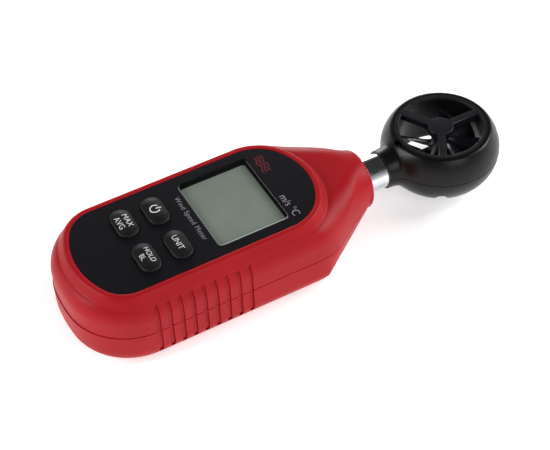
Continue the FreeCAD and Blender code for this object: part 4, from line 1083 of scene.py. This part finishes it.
class ANEMOMETER_OT_head(AnemometerBuilder, bpy.types.Operator):
    """Head shells, guards, bearings, screws and temperature sensor"""

    bl_idname = "anemometer.head"
    bl_label = "Vane head"

    def build(self, sizes):
        black = FINISHES["abs_black"]
        bead_low, bead_high = cad_box("thermistor")
        outline, outward = obround_outline(3.5, 1.9, 0.0, (bead_low[1] + bead_high[1]) / 2)
        slot = cutter(loop_sweep(outline, outward, [(-0.95, AXIS_Z + 4), (0.0, AXIS_Z + 4),
                                                    (0.0, HEAD_HIGH[2] + 2), (-0.95, HEAD_HIGH[2] + 2)]))
        upper = carved(head_mesh("head_upper_moulding", True, sizes), [slot])
        piece(upper, "instrument", black, ("head_upper_shell",), 32.0)
        tools = []
        low = AXIS_Z - HEAD_HALF
        for degrees in (-30.0, 90.0, 210.0):
            turn = math.radians(degrees)
            x, y = HEAD_SCREW_R * math.cos(turn), HEAD_Y + HEAD_SCREW_R * math.sin(turn)
            profile = [(1e-4, low - 2), (HEAD_RECESS_R, low - 2), (HEAD_RECESS_R, low + HEAD_RECESS_DEPTH),
                       (1e-4, low + HEAD_RECESS_DEPTH)]
            tools.append(cutter(lathe(profile, x, y, 32)))
        lower = carved(head_mesh("head_lower_moulding", False, sizes), tools)
        piece(lower, "instrument", black, ("head_lower_shell",), 32.0)
        for node in ("front_guard", "rear_guard"):
            finished_node(node, node + "_grille", FINISHES["nylon"], 40.0)
        for node in ("front_bearing", "rear_bearing"):
            finished_node(node, node + "_bush", FINISHES["brass"])
        finished_node("head_screws", "head_screws_driven", FINISHES["steel"])
        finished_node("thermistor", "thermistor_bead", FINISHES["glass_bead"])


class ANEMOMETER_OT_impeller(AnemometerBuilder, bpy.types.Operator):
    """Impeller with its shaft and magnet"""

    bl_idname = "anemometer.impeller"
    bl_label = "Impeller"

    def build(self, sizes):
        piece(impeller_mesh(sizes), "rotor", FINISHES["rotor"], ("impeller",), 40.0)
        finished_node("impeller_shaft", "impeller_spindle", FINISHES["shaft"])
        finished_node("rotor_magnet", "ring_magnet", FINISHES["magnet"])


class ANEMOMETER_OT_insides(AnemometerBuilder, bpy.types.Operator):
    """Batteries, contacts, screws and electronics"""

    bl_idname = "anemometer.insides"
    bl_label = "Insides"

    def build(self, sizes):
        for k in (1, 2, 3):
            finished_node(f"battery_{k}", f"battery_cell_{k}", FINISHES["cell"])
        finished_node("battery_springs", "contact_springs", FINISHES["spring"])
        finished_node("case_screws", "case_screws_driven", FINISHES["steel"])
        for node, name in (("battery_plates", "spring"), ("lcd_backlight", "white"),
                           ("zebra_strip", "elastomer"), ("circuit_board", "board"),
                           ("microcontroller", "chip"), ("key_switches", "chip"), ("head_board", "board"),
                           ("hall_sensor", "chip"), ("lead_plug", "white"), ("sensor_lead", "lead")):
            shown(node, name)


class ANEMOMETER_OT_stage(AnemometerBuilder, bpy.types.Operator):
    """Pale floor, soft lights and camera"""

    bl_idname = "anemometer.stage"
    bl_label = "Stage"

    def build(self, sizes):
        scene = bpy.context.scene
        scene.view_settings.view_transform = "Standard"
        pale = tuple(scene.anemometer_colours.floor_pale)
        ground = finish("floor_acrylic_lit_matt", pale, linear("#F4F4F5"), 0.7, 1.5, 0.01, patch=120.0,
                        **{"Emission Color": (1.0, 1.0, 1.0, 1.0), "Emission Strength": 0.5})
        side = np.linspace(-1500.0, 1500.0, 9)
        x, y = np.meshgrid(side, side)
        data = new_mesh("floor", np.stack([x, y, np.full_like(x, -0.05)], axis=-1), grid_quads(9, 9))
        data.materials.append(ground)
        placed("floor", data)
        world = bpy.data.worlds.new("studio")
        world.use_nodes = True
        tree = world.node_tree
        sky = add_node(tree, "ShaderNodeTexCoord")
        parts = add_node(tree, "ShaderNodeSeparateXYZ", links={"Vector": sky.outputs["Generated"]})
        shade = add_node(tree, "ShaderNodeValToRGB", links={"Fac": parts.outputs["Z"]})
        shade.color_ramp.elements[0].position = 0.0
        shade.color_ramp.elements[0].color = (1.0, 1.0, 1.0, 1.0)
        shade.color_ramp.elements[1].position = 0.62
        shade.color_ramp.elements[1].color = (0.04, 0.04, 0.04, 1.0)
        middle = shade.color_ramp.elements.new(0.30)
        middle.color = (0.42, 0.42, 0.42, 1.0)
        tree.links.new(shade.outputs["Color"], tree.nodes["Background"].inputs["Color"])
        scene.world = world
        for name, spot, size, power in (("key_light", (0.15, 0.85, 0.55), 0.5, 7.0),
                                        ("fill_light", (0.8, 0.1, 0.65), 0.6, 2.8),
                                        ("tail_light", (-0.25, -0.85, 0.55), 0.5, 6.0),
                                        ("edge_light", (-1.0, 0.4, 0.14), 0.5, 4.0)):
            lamp = bpy.data.lights.new(name, "AREA")
            lamp.shape = "SQUARE"
            lamp.size = size
            lamp.energy = power
            obj = placed(name, lamp)
            obj.location = spot
            aim = Vector((0.0, 0.0, 0.01)) - Vector(spot)
            obj.rotation_euler = aim.to_track_quat("-Z", "Y").to_euler()
        self.camera(scene)

    def camera(self, scene):
        turn, rise, roll = math.radians(63.46), math.radians(46.72), math.radians(-3.0)
        back = np.array([math.sin(turn) * math.cos(rise), -math.cos(turn) * math.cos(rise), math.sin(rise)])
        right = np.array([math.cos(turn), math.sin(turn), 0.0])
        up = np.cross(back, right)
        across = math.cos(roll) * right + math.sin(roll) * up
        above = -math.sin(roll) * right + math.cos(roll) * up
        spot = (np.array([0.87, -4.81, 10.0]) + back * 480.08) * TO_M
        lens = bpy.data.cameras.new("camera")
        lens.lens = 95.58
        lens.sensor_width = 36.0
        lens.clip_start = 0.01
        holder = placed("camera", lens)
        matrix = np.eye(4)
        matrix[:3, 0], matrix[:3, 1], matrix[:3, 2], matrix[:3, 3] = across, above, back, spot
        holder.matrix_world = Matrix(matrix.tolist())
        scene.camera = holder


OPERATORS = (ANEMOMETER_OT_case, ANEMOMETER_OT_panel, ANEMOMETER_OT_keys, ANEMOMETER_OT_neck,
             ANEMOMETER_OT_head, ANEMOMETER_OT_impeller, ANEMOMETER_OT_insides, ANEMOMETER_OT_stage)


class ANEMOMETER_PT_panel(bpy.types.Panel):
    """Sizes, colours and build steps of the anemometer"""

    bl_idname = "ANEMOMETER_PT_panel"
    bl_label = "Anemometer"
    bl_space_type = "VIEW_3D"
    bl_region_type = "UI"
    bl_category = "Anemometer"

    def draw(self, context):
        for group in (context.scene.anemometer_sizes, context.scene.anemometer_colours):
            box = self.layout.box()
            for name in group.__annotations__:
                box.prop(group, name)
        for operator in OPERATORS:
            self.layout.operator(operator.bl_idname)


CLASSES = (AnemometerSizes, AnemometerColours) + OPERATORS + (ANEMOMETER_PT_panel,)


def register():
    for item in CLASSES:
        bpy.utils.register_class(item)
    bpy.types.Scene.anemometer_sizes = PointerProperty(type=AnemometerSizes)
    bpy.types.Scene.anemometer_colours = PointerProperty(type=AnemometerColours)


def unregister():
    del bpy.types.Scene.anemometer_sizes
    del bpy.types.Scene.anemometer_colours
    for item in reversed(CLASSES):
        bpy.utils.unregister_class(item)


def main():
    register()
    bpy.ops.anemometer.case()
    bpy.ops.anemometer.panel()
    bpy.ops.anemometer.keys()
    bpy.ops.anemometer.neck()
    bpy.ops.anemometer.head()
    bpy.ops.anemometer.impeller()
    bpy.ops.anemometer.insides()
    bpy.ops.anemometer.stage()


if __name__ == "__main__":
    main()
